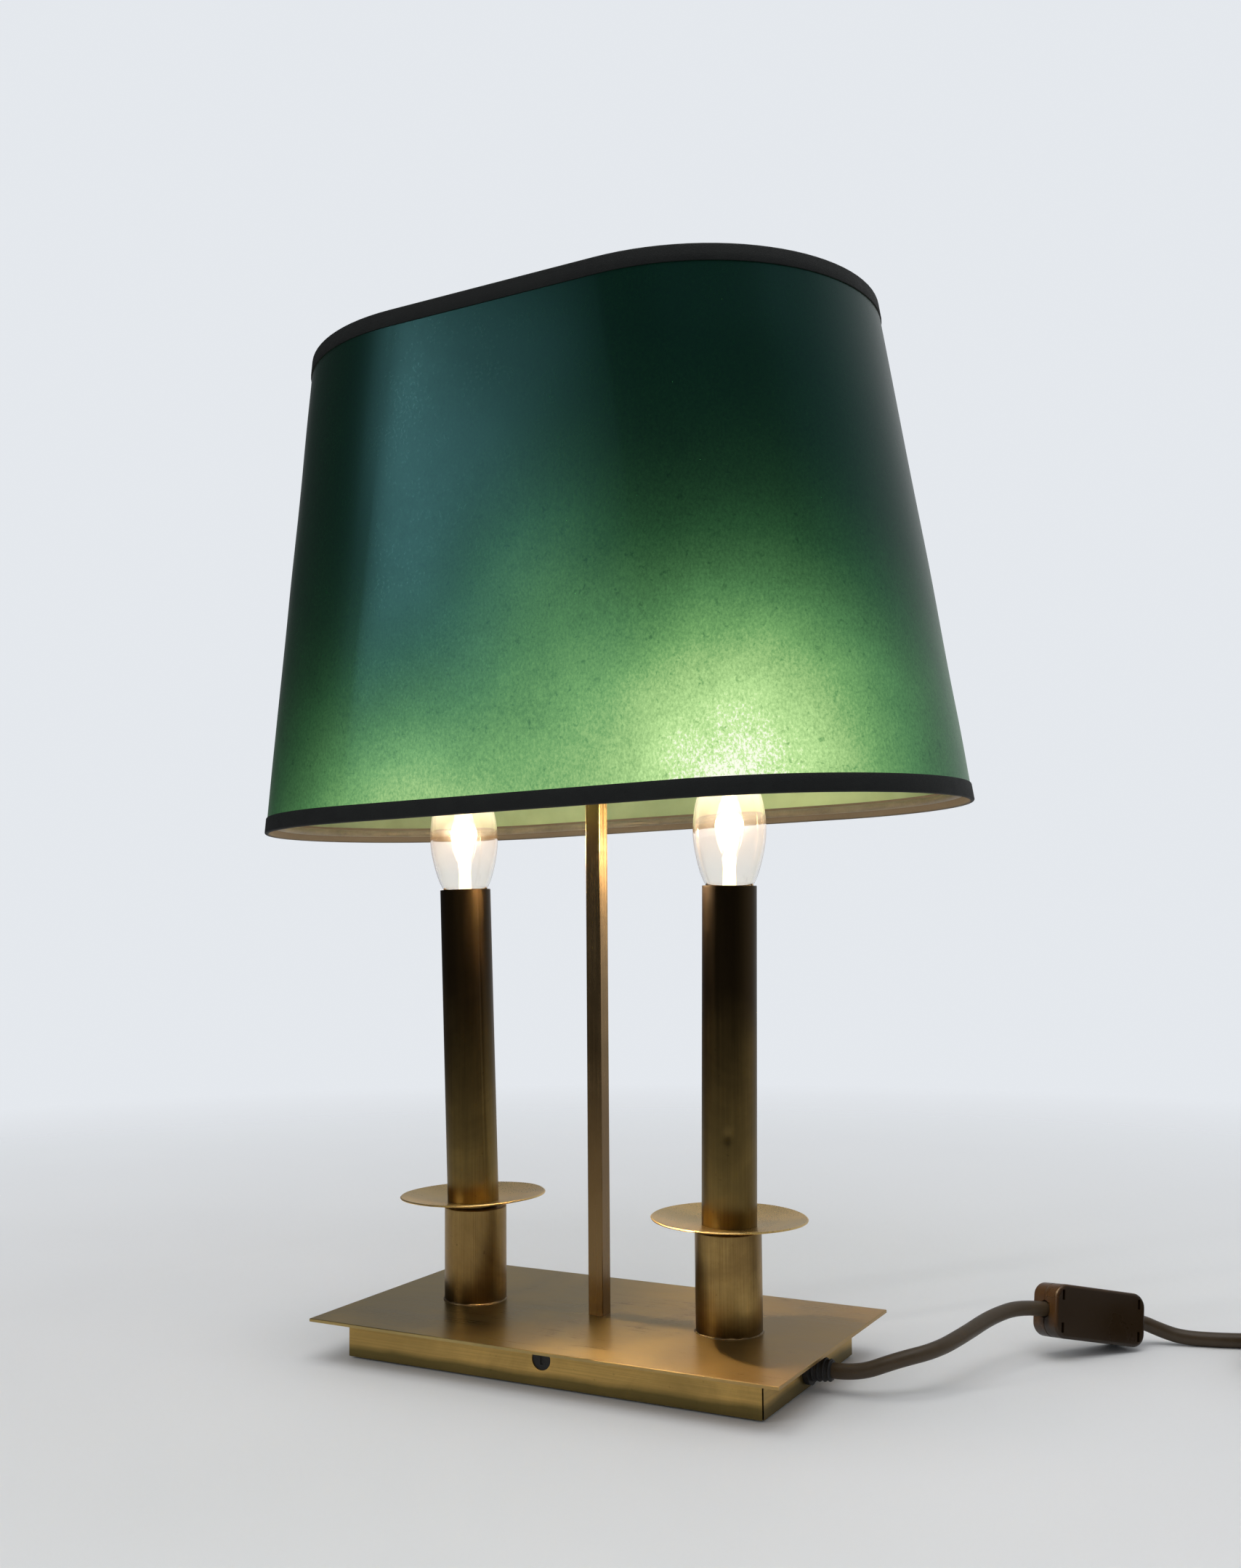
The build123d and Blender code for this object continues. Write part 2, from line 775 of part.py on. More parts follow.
def end_plane(x, y, z):
    """Drawing plane across X: its own X is the lamp's Y."""
    return Plane(origin=(x, y, z), x_dir=(0, 1, 0), z_dir=(1, 0, 0))


relief_start = wall_x - sheet - relief_inside
with BuildPart() as strain_relief:
    with BuildSketch(end_plane(relief_start, exit_y, cord_z)):
        Circle(relief_lip_radius)
    extrude(amount=relief_inside)
    with BuildSketch(end_plane(wall_x - sheet, exit_y, cord_z)):
        Circle(relief_neck_radius)
    extrude(amount=sheet)
    with BuildSketch(end_plane(wall_x, exit_y, cord_z)):
        Circle(relief_flange_radius)
    extrude(amount=relief_flange)
    with BuildSketch(end_plane(wall_x + relief_flange, exit_y, cord_z)):
        Circle(relief_radius)
    with BuildSketch(end_plane(relief_end, exit_y, cord_z)):
        Circle(relief_tip_radius)
    loft()
    with BuildSketch(end_plane(relief_start, exit_y, cord_z)):
        Circle(cord_radius)
    extrude(amount=relief_end - relief_start, mode=Mode.SUBTRACT)
save(strain_relief, "strain_relief")

sheath_end = wall_x - sheath_length
with BuildPart() as cord_sheath:
    with BuildSketch(end_plane(sheath_end, exit_y, cord_z)):
        Circle(cord_radius)
    extrude(amount=relief_end - sheath_end)
save(cord_sheath, "cord_sheath")

clamp_x = sheath_end + clamp_width / 2 + 2
with BuildPart() as cord_clamp:
    with BuildSketch(end_plane(clamp_x - clamp_width / 2, exit_y, cover_top)):
        with Locations((0, (cord_z + cord_radius + clamp_wall - cover_top) / 2)):
            Rectangle(2 * (cord_radius + 3 * clamp_wall), cord_z + cord_radius + clamp_wall - cover_top)
        with Locations((0, cord_z - cover_top)):
            Circle(cord_radius, mode=Mode.SUBTRACT)
    extrude(amount=clamp_width)
save(cord_clamp, "cord_clamp")

wire_z = cover_top + wire_height
wire_rows = {"live": block_width / 4, "neutral": -block_width / 4}
with BuildPart() as terminal_block:
    with BuildSketch(Plane.XY.offset(cover_top)):
        with Locations((block_x, 0)):
            Rectangle(block_length, block_width)
    extrude(amount=block_height)
    with BuildSketch(end_plane(block_x - block_length / 2, 0, wire_z)):
        with Locations(*[(row, 0) for row in wire_rows.values()]):
            Circle(wire_thickness)
    extrude(amount=block_length, mode=Mode.SUBTRACT)
save(terminal_block, "terminal_block")

# wires from the sheath to the block, and from the block up into the left rod
block_left = block_x - block_length / 2
block_right = block_x + block_length / 2
wire_runs = []
for row in wire_rows.values():
    split_y = exit_y + row / 3
    bend = (sheath_end - block_right) / 3
    wire_runs.append([
        (sheath_end, split_y, cord_z),
        (sheath_end - bend, split_y, cord_z),
        (block_right + bend, row, wire_z),
        (block_right - wire_bite, row, wire_z),
    ])
    rise = candle_planes["left"].from_local_coords((0, row / 3, rod_low + wire_straight))
    foot = candle_planes["left"].from_local_coords((0, row / 3, rod_low - 2 * wire_thickness))
    wire_runs.append([
        (block_left + wire_bite, row, wire_z),
        (block_left - wire_straight, row, wire_z),
        (foot.X + wire_straight, foot.Y, foot.Z),
        foot,
        rise,
    ])
with BuildPart() as inner_wires:
    for run in wire_runs:
        with BuildLine() as line:
            FilletPolyline(*run, radius=2.2 * wire_thickness)
        with BuildSketch(Plane(origin=line.line @ 0, z_dir=line.line % 0)):
            Circle(wire_thickness)
        sweep(path=line.line)
save(inner_wires, "inner_wires")

# --- in-line switch -----------------------------------------------------------------------------
turn, pitch, roll = radians(switch_turn), radians(switch_pitch), radians(switch_roll)
switch_along = Vector(cos(turn) * cos(pitch), sin(turn) * cos(pitch), sin(pitch))
level_normal = Vector(sin(turn), -cos(turn), 0)
level_up = level_normal.cross(switch_along) * -1
if level_up.Z < 0:
    level_up = level_up * -1
switch_normal = level_normal * cos(roll) + level_up * sin(roll)
switch_up = level_up * cos(roll) - level_normal * sin(roll)
# height of its centre when the rounded case just touches the surface
switch_z = (
    (switch_length / 2 - switch_corner) * abs(switch_along.Z)
    + (switch_width / 2 - switch_corner) * abs(switch_up.Z)
    + (switch_corner - switch_edge) * sqrt(switch_along.Z**2 + switch_up.Z**2)
    + (switch_thickness / 2 - switch_edge) * abs(switch_normal.Z)
    + switch_edge
)
switch_plane = Plane(origin=(switch_x, switch_y, switch_z), x_dir=switch_along, z_dir=switch_normal)


def switch_block(x, y, low, length, width, height):
    """A block in the switch's frame, from low upwards along its normal."""
    with BuildPart() as block:
        with BuildSketch(switch_plane.offset(low)):
            with Locations((x, y)):
                Rectangle(length, width)
        extrude(amount=height)
    return block.part


def switch_shell(face):
    """Half of the case: face is 1 on the side with the clip slots, -1 on the rocker's side."""
    half = switch_thickness / 2
    inside = switch_corner - switch_wall
    with BuildPart() as shell:
        with BuildSketch(switch_plane):
            RectangleRounded(switch_length, switch_width, switch_corner)
        extrude(amount=face * half)
        heights = {edge: switch_plane.to_local_coords(edge.center()).Z for edge in shell.edges()}
        fillet([edge for edge, height in heights.items() if abs(height - face * half) < 0.01], switch_edge)
        with BuildSketch(switch_plane):
            RectangleRounded(switch_length - 2 * switch_wall, switch_width - 2 * switch_wall, inside)
        extrude(amount=face * (half - switch_wall), mode=Mode.SUBTRACT)
        for end in (-1, 1):
            place = switch_plane.from_local_coords((end * (switch_length / 2 - 2 * switch_wall), 0, 0))
            with BuildSketch(Plane(origin=place, x_dir=switch_plane.y_dir, z_dir=end * switch_plane.x_dir)):
                Circle(switch_mouth / 2)
            extrude(amount=3 * switch_wall, mode=Mode.SUBTRACT)
    return shell.part


switch_floor = switch_thickness / 2 - switch_wall
base_shell = switch_shell(1)
slot_x = switch_length / 2 - clip_slot_inset
slot_y = clip_slot_spread * switch_width
slot_size = (clip_slot_width, clip_slot_length, 2 * switch_wall)
slot_low = switch_floor - spare
clip_slots = [switch_block(x, y, slot_low, *slot_size) for x in (-slot_x, slot_x) for y in (-slot_y, slot_y)]
grip_x = switch_length / 2 - switch_grip - grip_rib / 2
grips = [switch_block(x, 0, 0, grip_rib, grip_rib_width, switch_floor) for x in (-grip_x, grip_x)]
with BuildPart() as switch_base:
    add(base_shell)
    add(clip_slots, mode=Mode.SUBTRACT)
    add(grips)
save(switch_base, "switch_base")

pivot_depth = switch_floor - pivot_above_floor
lug_y = rocker_width / 2 + rocker_gap / 2 + lug_width / 2
opening_length = rocker_length + 3 * rocker_gap
opening_width = rocker_width + 2 * rocker_gap
cover_shell = switch_shell(-1)
opening_depth = switch_wall + 2 * spare
opening = switch_block(0, 0, -switch_thickness / 2 - spare, opening_length, opening_width, opening_depth)
lugs = [switch_block(0, y, -switch_floor, lug_length, lug_width, lug_height) for y in (-lug_y, lug_y)]
pin_start = switch_plane.from_local_coords((0, -rocker_width, -pivot_depth))
with BuildPart() as switch_cover:
    add(cover_shell)
    add(opening, mode=Mode.SUBTRACT)
    add(lugs)
    with BuildSketch(Plane(origin=pin_start, z_dir=switch_plane.y_dir)):
        Circle(rocker_pin + rocker_pin_play)
    extrude(amount=2 * rocker_width, mode=Mode.SUBTRACT)
save(switch_cover, "switch_cover")

# the rocker is drawn level, then stands at one end of its throw
pivot = switch_plane.from_local_coords((0, 0, -pivot_depth))
throw = radians(rocker_throw)
rocker_plane = Plane(
    origin=pivot,
    x_dir=switch_plane.x_dir * cos(throw) + switch_plane.z_dir * sin(throw),
    z_dir=switch_plane.y_dir,
)
out = -1 if rocker_plane.y_dir.dot(switch_plane.z_dir) > 0 else 1
rocker_reach = switch_thickness / 2 - pivot_depth
with BuildPart() as switch_rocker:
    with BuildSketch(rocker_plane):
        with BuildLine():
            Polyline(
                (-rocker_length / 2, out * (rocker_reach + rocker_proud)),
                (0, out * (rocker_reach + rocker_dip)),
                (rocker_length / 2, out * (rocker_reach + rocker_proud)),
                (rocker_length / 2 - spare, -out * rocker_gap),
                (0, -out * rocker_depth),
                (spare - rocker_length / 2, -out * rocker_gap),
                close=True,
            )
        make_face()
    extrude(amount=rocker_width / 2, both=True)
    with BuildSketch(rocker_plane):
        Circle(rocker_pin)
    extrude(amount=lug_y + lug_width / 2, both=True)
save(switch_rocker, "switch_rocker")

terminal_low = switch_floor - terminal_side
terminal_size = (terminal_side, terminal_side, terminal_side)
contacts = [switch_block(x, terminal_y, terminal_low, *terminal_size) for x in (-terminal_x, terminal_x)]
with BuildPart() as switch_terminals:
    add(contacts)
save(switch_terminals, "switch_terminals")


# --- cord on the table --------------------------------------------------------------------------
def arc_radii(points):
    """Largest sensible arc at each corner: 0.45 of the shorter run over the tangent of half the turn."""
    radii = []
    for before, here, after in zip(points, points[1:], points[2:]):
        run_in, run_out = Vector(here) - Vector(before), Vector(after) - Vector(here)
        turn = radians(run_in.get_angle(run_out))
        radii.append(0.45 * min(run_in.length, run_out.length) / tan(turn / 2))
    return radii


def cord_tube(points, name):
    """A cord's tube along straight runs and large arcs."""
    radii = arc_radii(points)
    with BuildPart() as tube:
        with BuildLine() as route:
            FilletPolyline(*points, radius=radii)
        with BuildSketch(Plane(origin=route.line @ 0, z_dir=route.line % 0)):
            Circle(cord_radius)
        sweep(path=route.line)
    length = route.wire().length
    section = pi * cord_radius**2
    print(name, "radii", [round(radius, 1) for radius in radii])
    print(name, "length", round(length, 1), "volume share", round(tube.part.volume / section / length, 4))
    save(tube, name)


def switch_point(along):
    return switch_plane.from_local_coords((along, 0, 0))


grip = switch_length / 2 - switch_grip
lamp_route = [
    (relief_end, exit_y, cord_z),
    (relief_end + 11.5, exit_y, cord_z),
    (149.2, 1.4, 16.8),
    (163.0, 15.8, 19.3),
    (170.0, 37.8, 22.1),
    (175.5, 63.4, 24.8),
    switch_point(-switch_length / 2 - 13.0),
    switch_point(-grip),
]
coil_outer = coil_middle_radius + coil_columns * cord_radius
coil_inner = coil_middle_radius - coil_columns * cord_radius
coil_height = 2 * cord_radius * coil_layers
outer_turn = coil_outer - cord_radius
mains_route = [
    switch_point(grip),
    switch_point(switch_length / 2 + 5.0),
    (237.7, 145.0, 6.8),
    (248.2, 147.6, cord_radius),
    (268.0, 152.0, cord_radius),
    (287.0, 161.0, cord_radius),
    (coil_x - 0.46 * outer_turn, coil_y + 0.98 * outer_turn, cord_radius),
    (coil_x, coil_y + outer_turn, cord_radius),
]
top_turn_z = coil_height - cord_radius
tail_x = coil_x + outer_turn
plug_x = tail_x + 1.0
sleeve_y = coil_y - 1.55 * outer_turn
tail_route = [
    (tail_x, coil_y, top_turn_z),
    (tail_x + 0.2, coil_y - 0.5 * outer_turn, top_turn_z - 1.2),
    (plug_x, coil_y - 1.15 * outer_turn, plug_thickness / 2),
    (plug_x, sleeve_y, plug_thickness / 2),
]
cord_tube(lamp_route, "cord_lamp")
cord_tube(mains_route, "cord_mains")
cord_tube(tail_route, "cord_tail")

with BuildPart() as cord_coil:
    with BuildSketch():
        with Locations((coil_x, coil_y)):
            Circle(coil_outer)
            Circle(coil_inner, mode=Mode.SUBTRACT)
    extrude(amount=coil_height)
    fillet(cord_coil.edges(), cord_radius / 2)
save(cord_coil, "cord_coil")

tie_direction = Vector(cos(radians(tie_angle)), sin(radians(tie_angle)), 0)
tie_centre = Vector(coil_x, coil_y, coil_height / 2 + tie_thickness / 2) + tie_direction * coil_middle_radius
tie_across = Vector(-tie_direction.Y, tie_direction.X, 0)
tie_plane = Plane(origin=tie_centre, x_dir=tie_direction, z_dir=tie_across)
with BuildPart() as coil_tie:
    with BuildSketch(tie_plane):
        RectangleRounded(coil_outer - coil_inner + 2 * tie_thickness, coil_height + tie_thickness, 2.5)
        RectangleRounded(coil_outer - coil_inner, coil_height - tie_thickness, 1.8, mode=Mode.SUBTRACT)
    extrude(amount=tie_width / 2, both=True)
save(coil_tie, "coil_tie")

body_y = sleeve_y - plug_sleeve_length
face_y = body_y - plug_length


def plug_plane(y):
    """Drawing plane across the plug, looking along its pins."""
    return Plane(origin=(plug_x, y, plug_thickness / 2), x_dir=(1, 0, 0), z_dir=(0, -1, 0))


with BuildPart() as plug_body:
    with BuildSketch(plug_plane(body_y)):
        RectangleRounded(plug_width, plug_thickness, plug_corner)
    extrude(amount=plug_length)
    fillet(plug_body.edges().group_by(Axis.Y)[-1], 6.0)
    fillet(plug_body.edges().group_by(Axis.Y)[0], 1.0)
    with BuildSketch(plug_plane(sleeve_y)):
        Circle(cord_radius + 1.0)
    with BuildSketch(plug_plane(body_y)):
        Circle(plug_sleeve_radius)
    loft()
save(plug_body, "plug_body")

with BuildPart() as plug_pins:
    with BuildSketch(plug_plane(face_y)):
        with Locations((-pin_spacing / 2, 0), (pin_spacing / 2, 0)):
            Circle(pin_radius)
    extrude(amount=pin_length)
    fillet(plug_pins.edges().group_by(Axis.Y)[0], pin_radius * 0.6)
save(plug_pins, "plug_pins")
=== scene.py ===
"""Bouillotte lamp: folded brass base, two candle lights on drip pans, a square stem with an oval
paper shade, and a brown cord with its switch, its spare length in a coil, and its plug.

Metres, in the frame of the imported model: X along the base, Y to the back, Z up.
"""

import json
from math import cos, exp, pi, radians, sin, sqrt

import bmesh
import bpy
from mathutils import Matrix, Vector, noise

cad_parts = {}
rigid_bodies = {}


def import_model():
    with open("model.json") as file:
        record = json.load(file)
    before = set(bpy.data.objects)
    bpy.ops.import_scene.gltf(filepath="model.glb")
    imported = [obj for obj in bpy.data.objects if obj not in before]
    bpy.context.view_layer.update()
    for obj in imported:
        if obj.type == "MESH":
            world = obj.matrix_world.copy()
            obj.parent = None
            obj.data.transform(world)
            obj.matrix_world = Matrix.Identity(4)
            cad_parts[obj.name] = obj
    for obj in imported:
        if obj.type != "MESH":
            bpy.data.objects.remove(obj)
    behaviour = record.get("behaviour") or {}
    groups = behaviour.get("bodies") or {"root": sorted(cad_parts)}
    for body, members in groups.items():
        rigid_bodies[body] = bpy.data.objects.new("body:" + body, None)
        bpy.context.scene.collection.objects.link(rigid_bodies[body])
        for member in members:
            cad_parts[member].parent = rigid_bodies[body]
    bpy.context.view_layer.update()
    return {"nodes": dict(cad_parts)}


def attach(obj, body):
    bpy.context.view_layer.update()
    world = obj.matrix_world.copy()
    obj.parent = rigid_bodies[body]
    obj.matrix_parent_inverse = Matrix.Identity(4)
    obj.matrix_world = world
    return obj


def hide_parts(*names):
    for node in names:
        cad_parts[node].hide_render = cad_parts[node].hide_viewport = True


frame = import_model()

# --- Base plate and tray --------------------------------------------------------------------------
# The plate is flat sheet brass with sheared edges, brushed along its length and lacquered. It lies
# on a tray of thinner brass, folded down on four sides and open at the corners, where the lacquer
# has yellowed and the metal has tarnished in clouds.
PLATE_BRIGHT = (0.47, 0.345, 0.135)
PLATE_DULL = (0.26, 0.19, 0.076)
PLATE_PAINTED_WARM_LIGHT = (0.46, 0.27, 0.10)
TRAY_BRIGHT = (0.72, 0.46, 0.144)
TRAY_DULL = (0.30, 0.20, 0.065)
TRAY_PAINTED_REFLECTION = (0.10, 0.085, 0.030)


def finish_of(name, colour, roughness, metallic=0.0, **sockets):
    """A new material, its node tree and its shader, with the shader's plain values set."""
    material = bpy.data.materials.new(name)
    material.use_nodes = True
    shader = material.node_tree.nodes["Principled BSDF"]
    shader.inputs["Base Color"].default_value = (*colour, 1.0)
    shader.inputs["Roughness"].default_value = roughness
    shader.inputs["Metallic"].default_value = metallic
    for socket, value in sockets.items():
        shader.inputs[socket.replace("_", " ")].default_value = value
    return material, material.node_tree, shader


def node(tree, kind, inputs=None, **settings):
    """A node with its settings, and with its inputs set or linked."""
    made = tree.nodes.new(kind if "Node" in kind else "ShaderNode" + kind)
    for setting, value in settings.items():
        setattr(made, setting, value)
    for socket, value in (inputs or {}).items():
        if isinstance(value, bpy.types.NodeSocket):
            tree.links.new(value, made.inputs[socket])
        else:
            made.inputs[socket].default_value = value
    return made


def sums(tree, operation, *values):
    """The result of one step of arithmetic on numbers or sockets."""
    return node(tree, "Math", dict(enumerate(values)), operation=operation).outputs[0]


def aims(tree, operation, *values):
    """The result of one step of arithmetic on directions or places."""
    made = node(tree, "VectorMath", dict(enumerate(values)), operation=operation)
    return made.outputs["Value" if operation in ("LENGTH", "DOT_PRODUCT") else "Vector"]


def mottle(tree, place, scale, detail=5.0, stretch=(1.0, 1.0, 1.0), **inputs):
    """A noise pattern fixed to the piece, finer in the directions with a larger stretch."""
    stretched = node(tree, "Mapping", {"Vector": place, "Scale": stretch}).outputs["Vector"]
    values = {"Vector": stretched, "Scale": scale, "Detail": detail, **inputs}
    return node(tree, "TexNoise", values).outputs["Fac"]


def spread(tree, value, low, high, new_low=0.0, new_high=1.0):
    """The value, spread from one range over another and kept inside it."""
    inputs = {"Value": value, "From Min": low, "From Max": high, "To Min": new_low, "To Max": new_high}
    return node(tree, "MapRange", inputs).outputs["Result"]


def shades(tree, value, stops):
    """A colour that runs through the given shades as the value goes from 0 to 1."""
    made = node(tree, "ValToRGB", {"Fac": value})
    stop = made.color_ramp.elements
    while len(stop) < len(stops):
        stop.new(0.5)
    for element, (position, colour) in zip(stop, stops):
        element.position = position
        element.color = (*colour, 1.0)
    return made.outputs["Color"]


def place_of(tree):
    """Where a point of the piece lies in the lamp's own frame."""
    return node(tree, "TexCoord").outputs["Object"]


def parts_of(tree, place):
    """A place's X, Y and Z."""
    return node(tree, "SeparateXYZ", {"Vector": place}).outputs


def coated(tree, colour, rough, height, relief, depth, **inputs):
    """Puts a pattern's colour, roughness and fine relief on a finish."""
    shader = tree.nodes["Principled BSDF"].inputs
    bump = node(tree, "Bump", {"Height": height, "Strength": relief, "Distance": depth, **inputs})
    tree.links.new(colour, shader["Base Color"])
    tree.links.new(rough, shader["Roughness"])
    tree.links.new(bump.outputs["Normal"], shader["Normal"])


def brass(name, bright, dull, brushing, run, roughness, relief=0.06):
    """Brass brushed in lines that run one way, with clouds of tarnish and small dark specks."""
    material, tree, shader = finish_of(name, bright, roughness, 1.0, Anisotropic=0.6)
    place = place_of(tree)
    lines = mottle(tree, place, 1.0, detail=6.0, stretch=brushing, Roughness=0.65)
    clouds = mottle(tree, place, 17.0, detail=6.0, Roughness=0.6, Distortion=0.8)
    specks = mottle(tree, place, 420.0, detail=2.0)
    tarnish = sums(tree, "MULTIPLY_ADD", lines, 0.35, sums(tree, "MULTIPLY", clouds, 0.65))
    tone = spread(tree, tarnish, 0.32, 0.68)
    spot = spread(tree, specks, 0.70, 0.78, 0.0, 0.35)
    tone = sums(tree, "SUBTRACT", tone, spot)
    middle = tuple(sqrt(a * b) for a, b in zip(bright, dull))
    colour = shades(tree, tone, [(0.0, dull), (0.5, middle), (1.0, bright)])
    rough = sums(tree, "MULTIPLY_ADD", lines, 0.22, sums(tree, "MULTIPLY", clouds, 0.16))
    rough = sums(tree, "ADD", rough, roughness - 0.19)
    coated(tree, colour, rough, lines, relief, 0.0004)
    across = aims(tree, "CROSS_PRODUCT", run, node(tree, "NewGeometry").outputs["Normal"])
    tree.links.new(across, shader.inputs["Tangent"])
    return material


def painted_light_along(material, colour, none_at, full_at, most=1.0, axis="Z", scale=30.0, reach=0.0, detail=4.0):
    """Paints light or shade in a second colour, from none at one place on an axis to most at another."""
    tree = material.node_tree
    shader = tree.nodes["Principled BSDF"]
    place = place_of(tree)
    waver = mottle(tree, place, scale, detail)
    at = sums(tree, "MULTIPLY_ADD", waver, reach, parts_of(tree, place)[axis])
    share = spread(tree, at, none_at, full_at, 0.0, most)
    clean = shader.inputs["Base Color"].links[0].from_socket
    mixed = node(tree, "Mix", {"Factor": share, "A": clean, "B": (*colour, 1.0)}, data_type="RGBA")
    tree.links.new(mixed.outputs["Result"], shader.inputs["Base Color"])


def dress(material, *names):
    """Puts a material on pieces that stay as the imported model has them."""
    for name in names:
        for slot in frame["nodes"][name].material_slots:
            slot.material = material


# which way the brushing runs, a little off the axes so that it shows on every face
LENGTHWAYS, UPRIGHT = (1.0, 0.04, 0.07), (0.05, 0.03, 1.0)
PLATE_BRUSHING, TRAY_BRUSHING = (14.0, 1500.0, 1500.0), (16.0, 16.0, 1300.0)

plate_brass = brass("plate_brass", PLATE_BRIGHT, PLATE_DULL, PLATE_BRUSHING, LENGTHWAYS, 0.31)
# painted warm light of the bulbs: a coppery tint that grows towards the plate's right end
painted_light_along(plate_brass, PLATE_PAINTED_WARM_LIGHT, -0.02, 0.13, most=0.55, axis="X")
dress(plate_brass, "base_plate")
tray_brass = brass("tray_brass", TRAY_BRIGHT, TRAY_DULL, TRAY_BRUSHING, LENGTHWAYS, 0.38)
# painted reflection of the shaded table: a dark green tint along the tray's lower edge
painted_light_along(tray_brass, TRAY_PAINTED_REFLECTION, 0.0052, 0.0022, most=0.8, scale=26.0, reach=-0.005)
dress(tray_brass, "base_tray")

# --- Underside ------------------------------------------------------------------------------------
# A steel cover closes the tray, held by four screws into pillars, with green felt glued on it, and
# two cast bars lie inside as ballast.
STEEL, STEEL_DULL = (0.56, 0.55, 0.52), (0.33, 0.32, 0.30)
IRON, IRON_DULL = (0.10, 0.10, 0.11), (0.05, 0.045, 0.045)
FELT, FELT_DARK = (0.055, 0.10, 0.055), (0.025, 0.05, 0.028)


def plain(name, colour, dark, roughness, clouds=60.0, relief=0.2, grain=900.0, metallic=0.0, **sockets):
    """An even finish with faint clouds of a darker shade and a fine grain, at the given scales."""
    material, tree, _ = finish_of(name, colour, roughness, metallic, **sockets)
    place = place_of(tree)
    cloudy = mottle(tree, place, clouds, 5.0, Roughness=0.6)
    fine = mottle(tree, place, grain, 3.0)
    tone = spread(tree, sums(tree, "MULTIPLY_ADD", fine, 0.3, cloudy), 0.42, 0.86)
    rough = spread(tree, cloudy, 0.3, 0.7, roughness - 0.07, roughness + 0.07)
    coated(tree, shades(tree, tone, [(0.0, dark), (1.0, colour)]), rough, fine, relief, 0.0003)
    return material


steel = plain("zinc_plated_steel", STEEL, STEEL_DULL, 0.32, clouds=45.0, metallic=1.0)
dress(steel, "bottom_cover", "cover_screws", "cover_pillars", "stem_screw", "candle_rods", "lock_nuts")
dress(steel, "pan_nuts", "lampholder_shells", "lampholder_contacts", "switch_terminals", "plug_pins")
dress(plain("cast_iron", IRON, IRON_DULL, 0.7, clouds=80.0, relief=0.6, metallic=0.6), "ballast_bars")
dress(plain("green_felt", FELT, FELT_DARK, 0.95, clouds=260.0, relief=1.0, grain=2600.0), "base_felt")

# --- Rubber plug and strain relief ----------------------------------------------------------------
# A black rubber plug closes the hole in the tray's front from behind. A tapered rubber sleeve with
# moulded ribs holds the cord where it leaves the tray's right end.
RELIEF_START, RELIEF_END, RELIEF_RIBS = 0.1126, 0.1200, 4
RELIEF_WIDE, RELIEF_NARROW, RIB_SIZE = 0.0052, 0.0044, 0.0007
CORD_EXIT = (-0.0034, 0.0100)
RUBBER, RUBBER_DARK = (0.022, 0.02, 0.018), (0.012, 0.012, 0.012)


def planned(name, **inputs):
    """A new Geometry Nodes tree with inputs of the given names and kinds, and one result."""
    tree = bpy.data.node_groups.new(name, "GeometryNodeTree")
    for label, kind in inputs.items():
        tree.interface.new_socket(label.replace("_", " "), in_out="INPUT", socket_type="NodeSocket" + kind)
    tree.interface.new_socket("Result", in_out="OUTPUT", socket_type="NodeSocketGeometry")
    return tree, tree.nodes.new("NodeGroupInput").outputs


def circle(tree, corners, radius):
    """A round curve, to sweep or to sweep along."""
    made = node(tree, "GeometryNodeCurvePrimitiveCircle", {"Resolution": corners, "Radius": radius})
    return made.outputs["Curve"]


def finish_plan(tree, geometry, material):
    """Ends a tree in real meshes with a material."""
    real = node(tree, "GeometryNodeRealizeInstances", {"Geometry": geometry}).outputs["Geometry"]
    dressed = node(tree, "GeometryNodeSetMaterial", {"Geometry": real, "Material": material})
    tree.links.new(dressed.outputs["Geometry"], tree.nodes.new("NodeGroupOutput").inputs["Result"])


def carried_out(tree, points=(), edges=(), **values):
    """The points and faces that a tree makes from a line, with the given values for its inputs."""
    mesh = bpy.data.meshes.new(tree.name)
    mesh.from_pydata(list(points), list(edges), [])
    stand = bpy.data.objects.new(tree.name, mesh)
    bpy.context.scene.collection.objects.link(stand)
    plan = stand.modifiers.new(tree.name, "NODES")
    plan.node_group = tree
    for socket in tree.interface.items_tree:
        label = socket.name.replace(" ", "_")
        if label in values:
            plan[socket.identifier] = values[label]
    seen = stand.evaluated_get(bpy.context.evaluated_depsgraph_get())
    grown = bpy.data.meshes.new_from_object(seen)
    points = [vert.co.copy() for vert in grown.vertices]
    faces = [tuple(face.vertices) for face in grown.polygons]
    stand.modifiers.remove(plan)
    bpy.data.objects.remove(stand)
    bpy.data.meshes.remove(grown)
    return points, faces


def placed(place, shape):
    """A shape's points and faces, set down at its place."""
    points, faces = shape
    return [place @ point for point in points], faces


def piece(name, shape, material, body, slot, *stands_for, sharp=40.0):
    """A finished piece: merged, its faces outwards and smooth, riding on its body."""
    mesh = bpy.data.meshes.new(name)
    mesh.from_pydata(shape[0], [], shape[1])
    form = bmesh.new()
    form.from_mesh(mesh)
    bmesh.ops.remove_doubles(form, verts=form.verts, dist=1e-6)
    bmesh.ops.recalc_face_normals(form, faces=form.faces)
    form.to_mesh(mesh)
    form.free()
    mesh.shade_smooth()
    mesh.set_sharp_from_angle(angle=radians(sharp))
    mesh.materials.append(material)
    made = bpy.data.objects.new(name, mesh)
    bpy.context.scene.collection.objects.link(made)
    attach(made, body)
    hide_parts(*stands_for)
    return made


rubber = plain("black_rubber", RUBBER, RUBBER_DARK, 0.6, clouds=120.0, relief=0.5)
dress(rubber, "front_plug", "strain_relief")

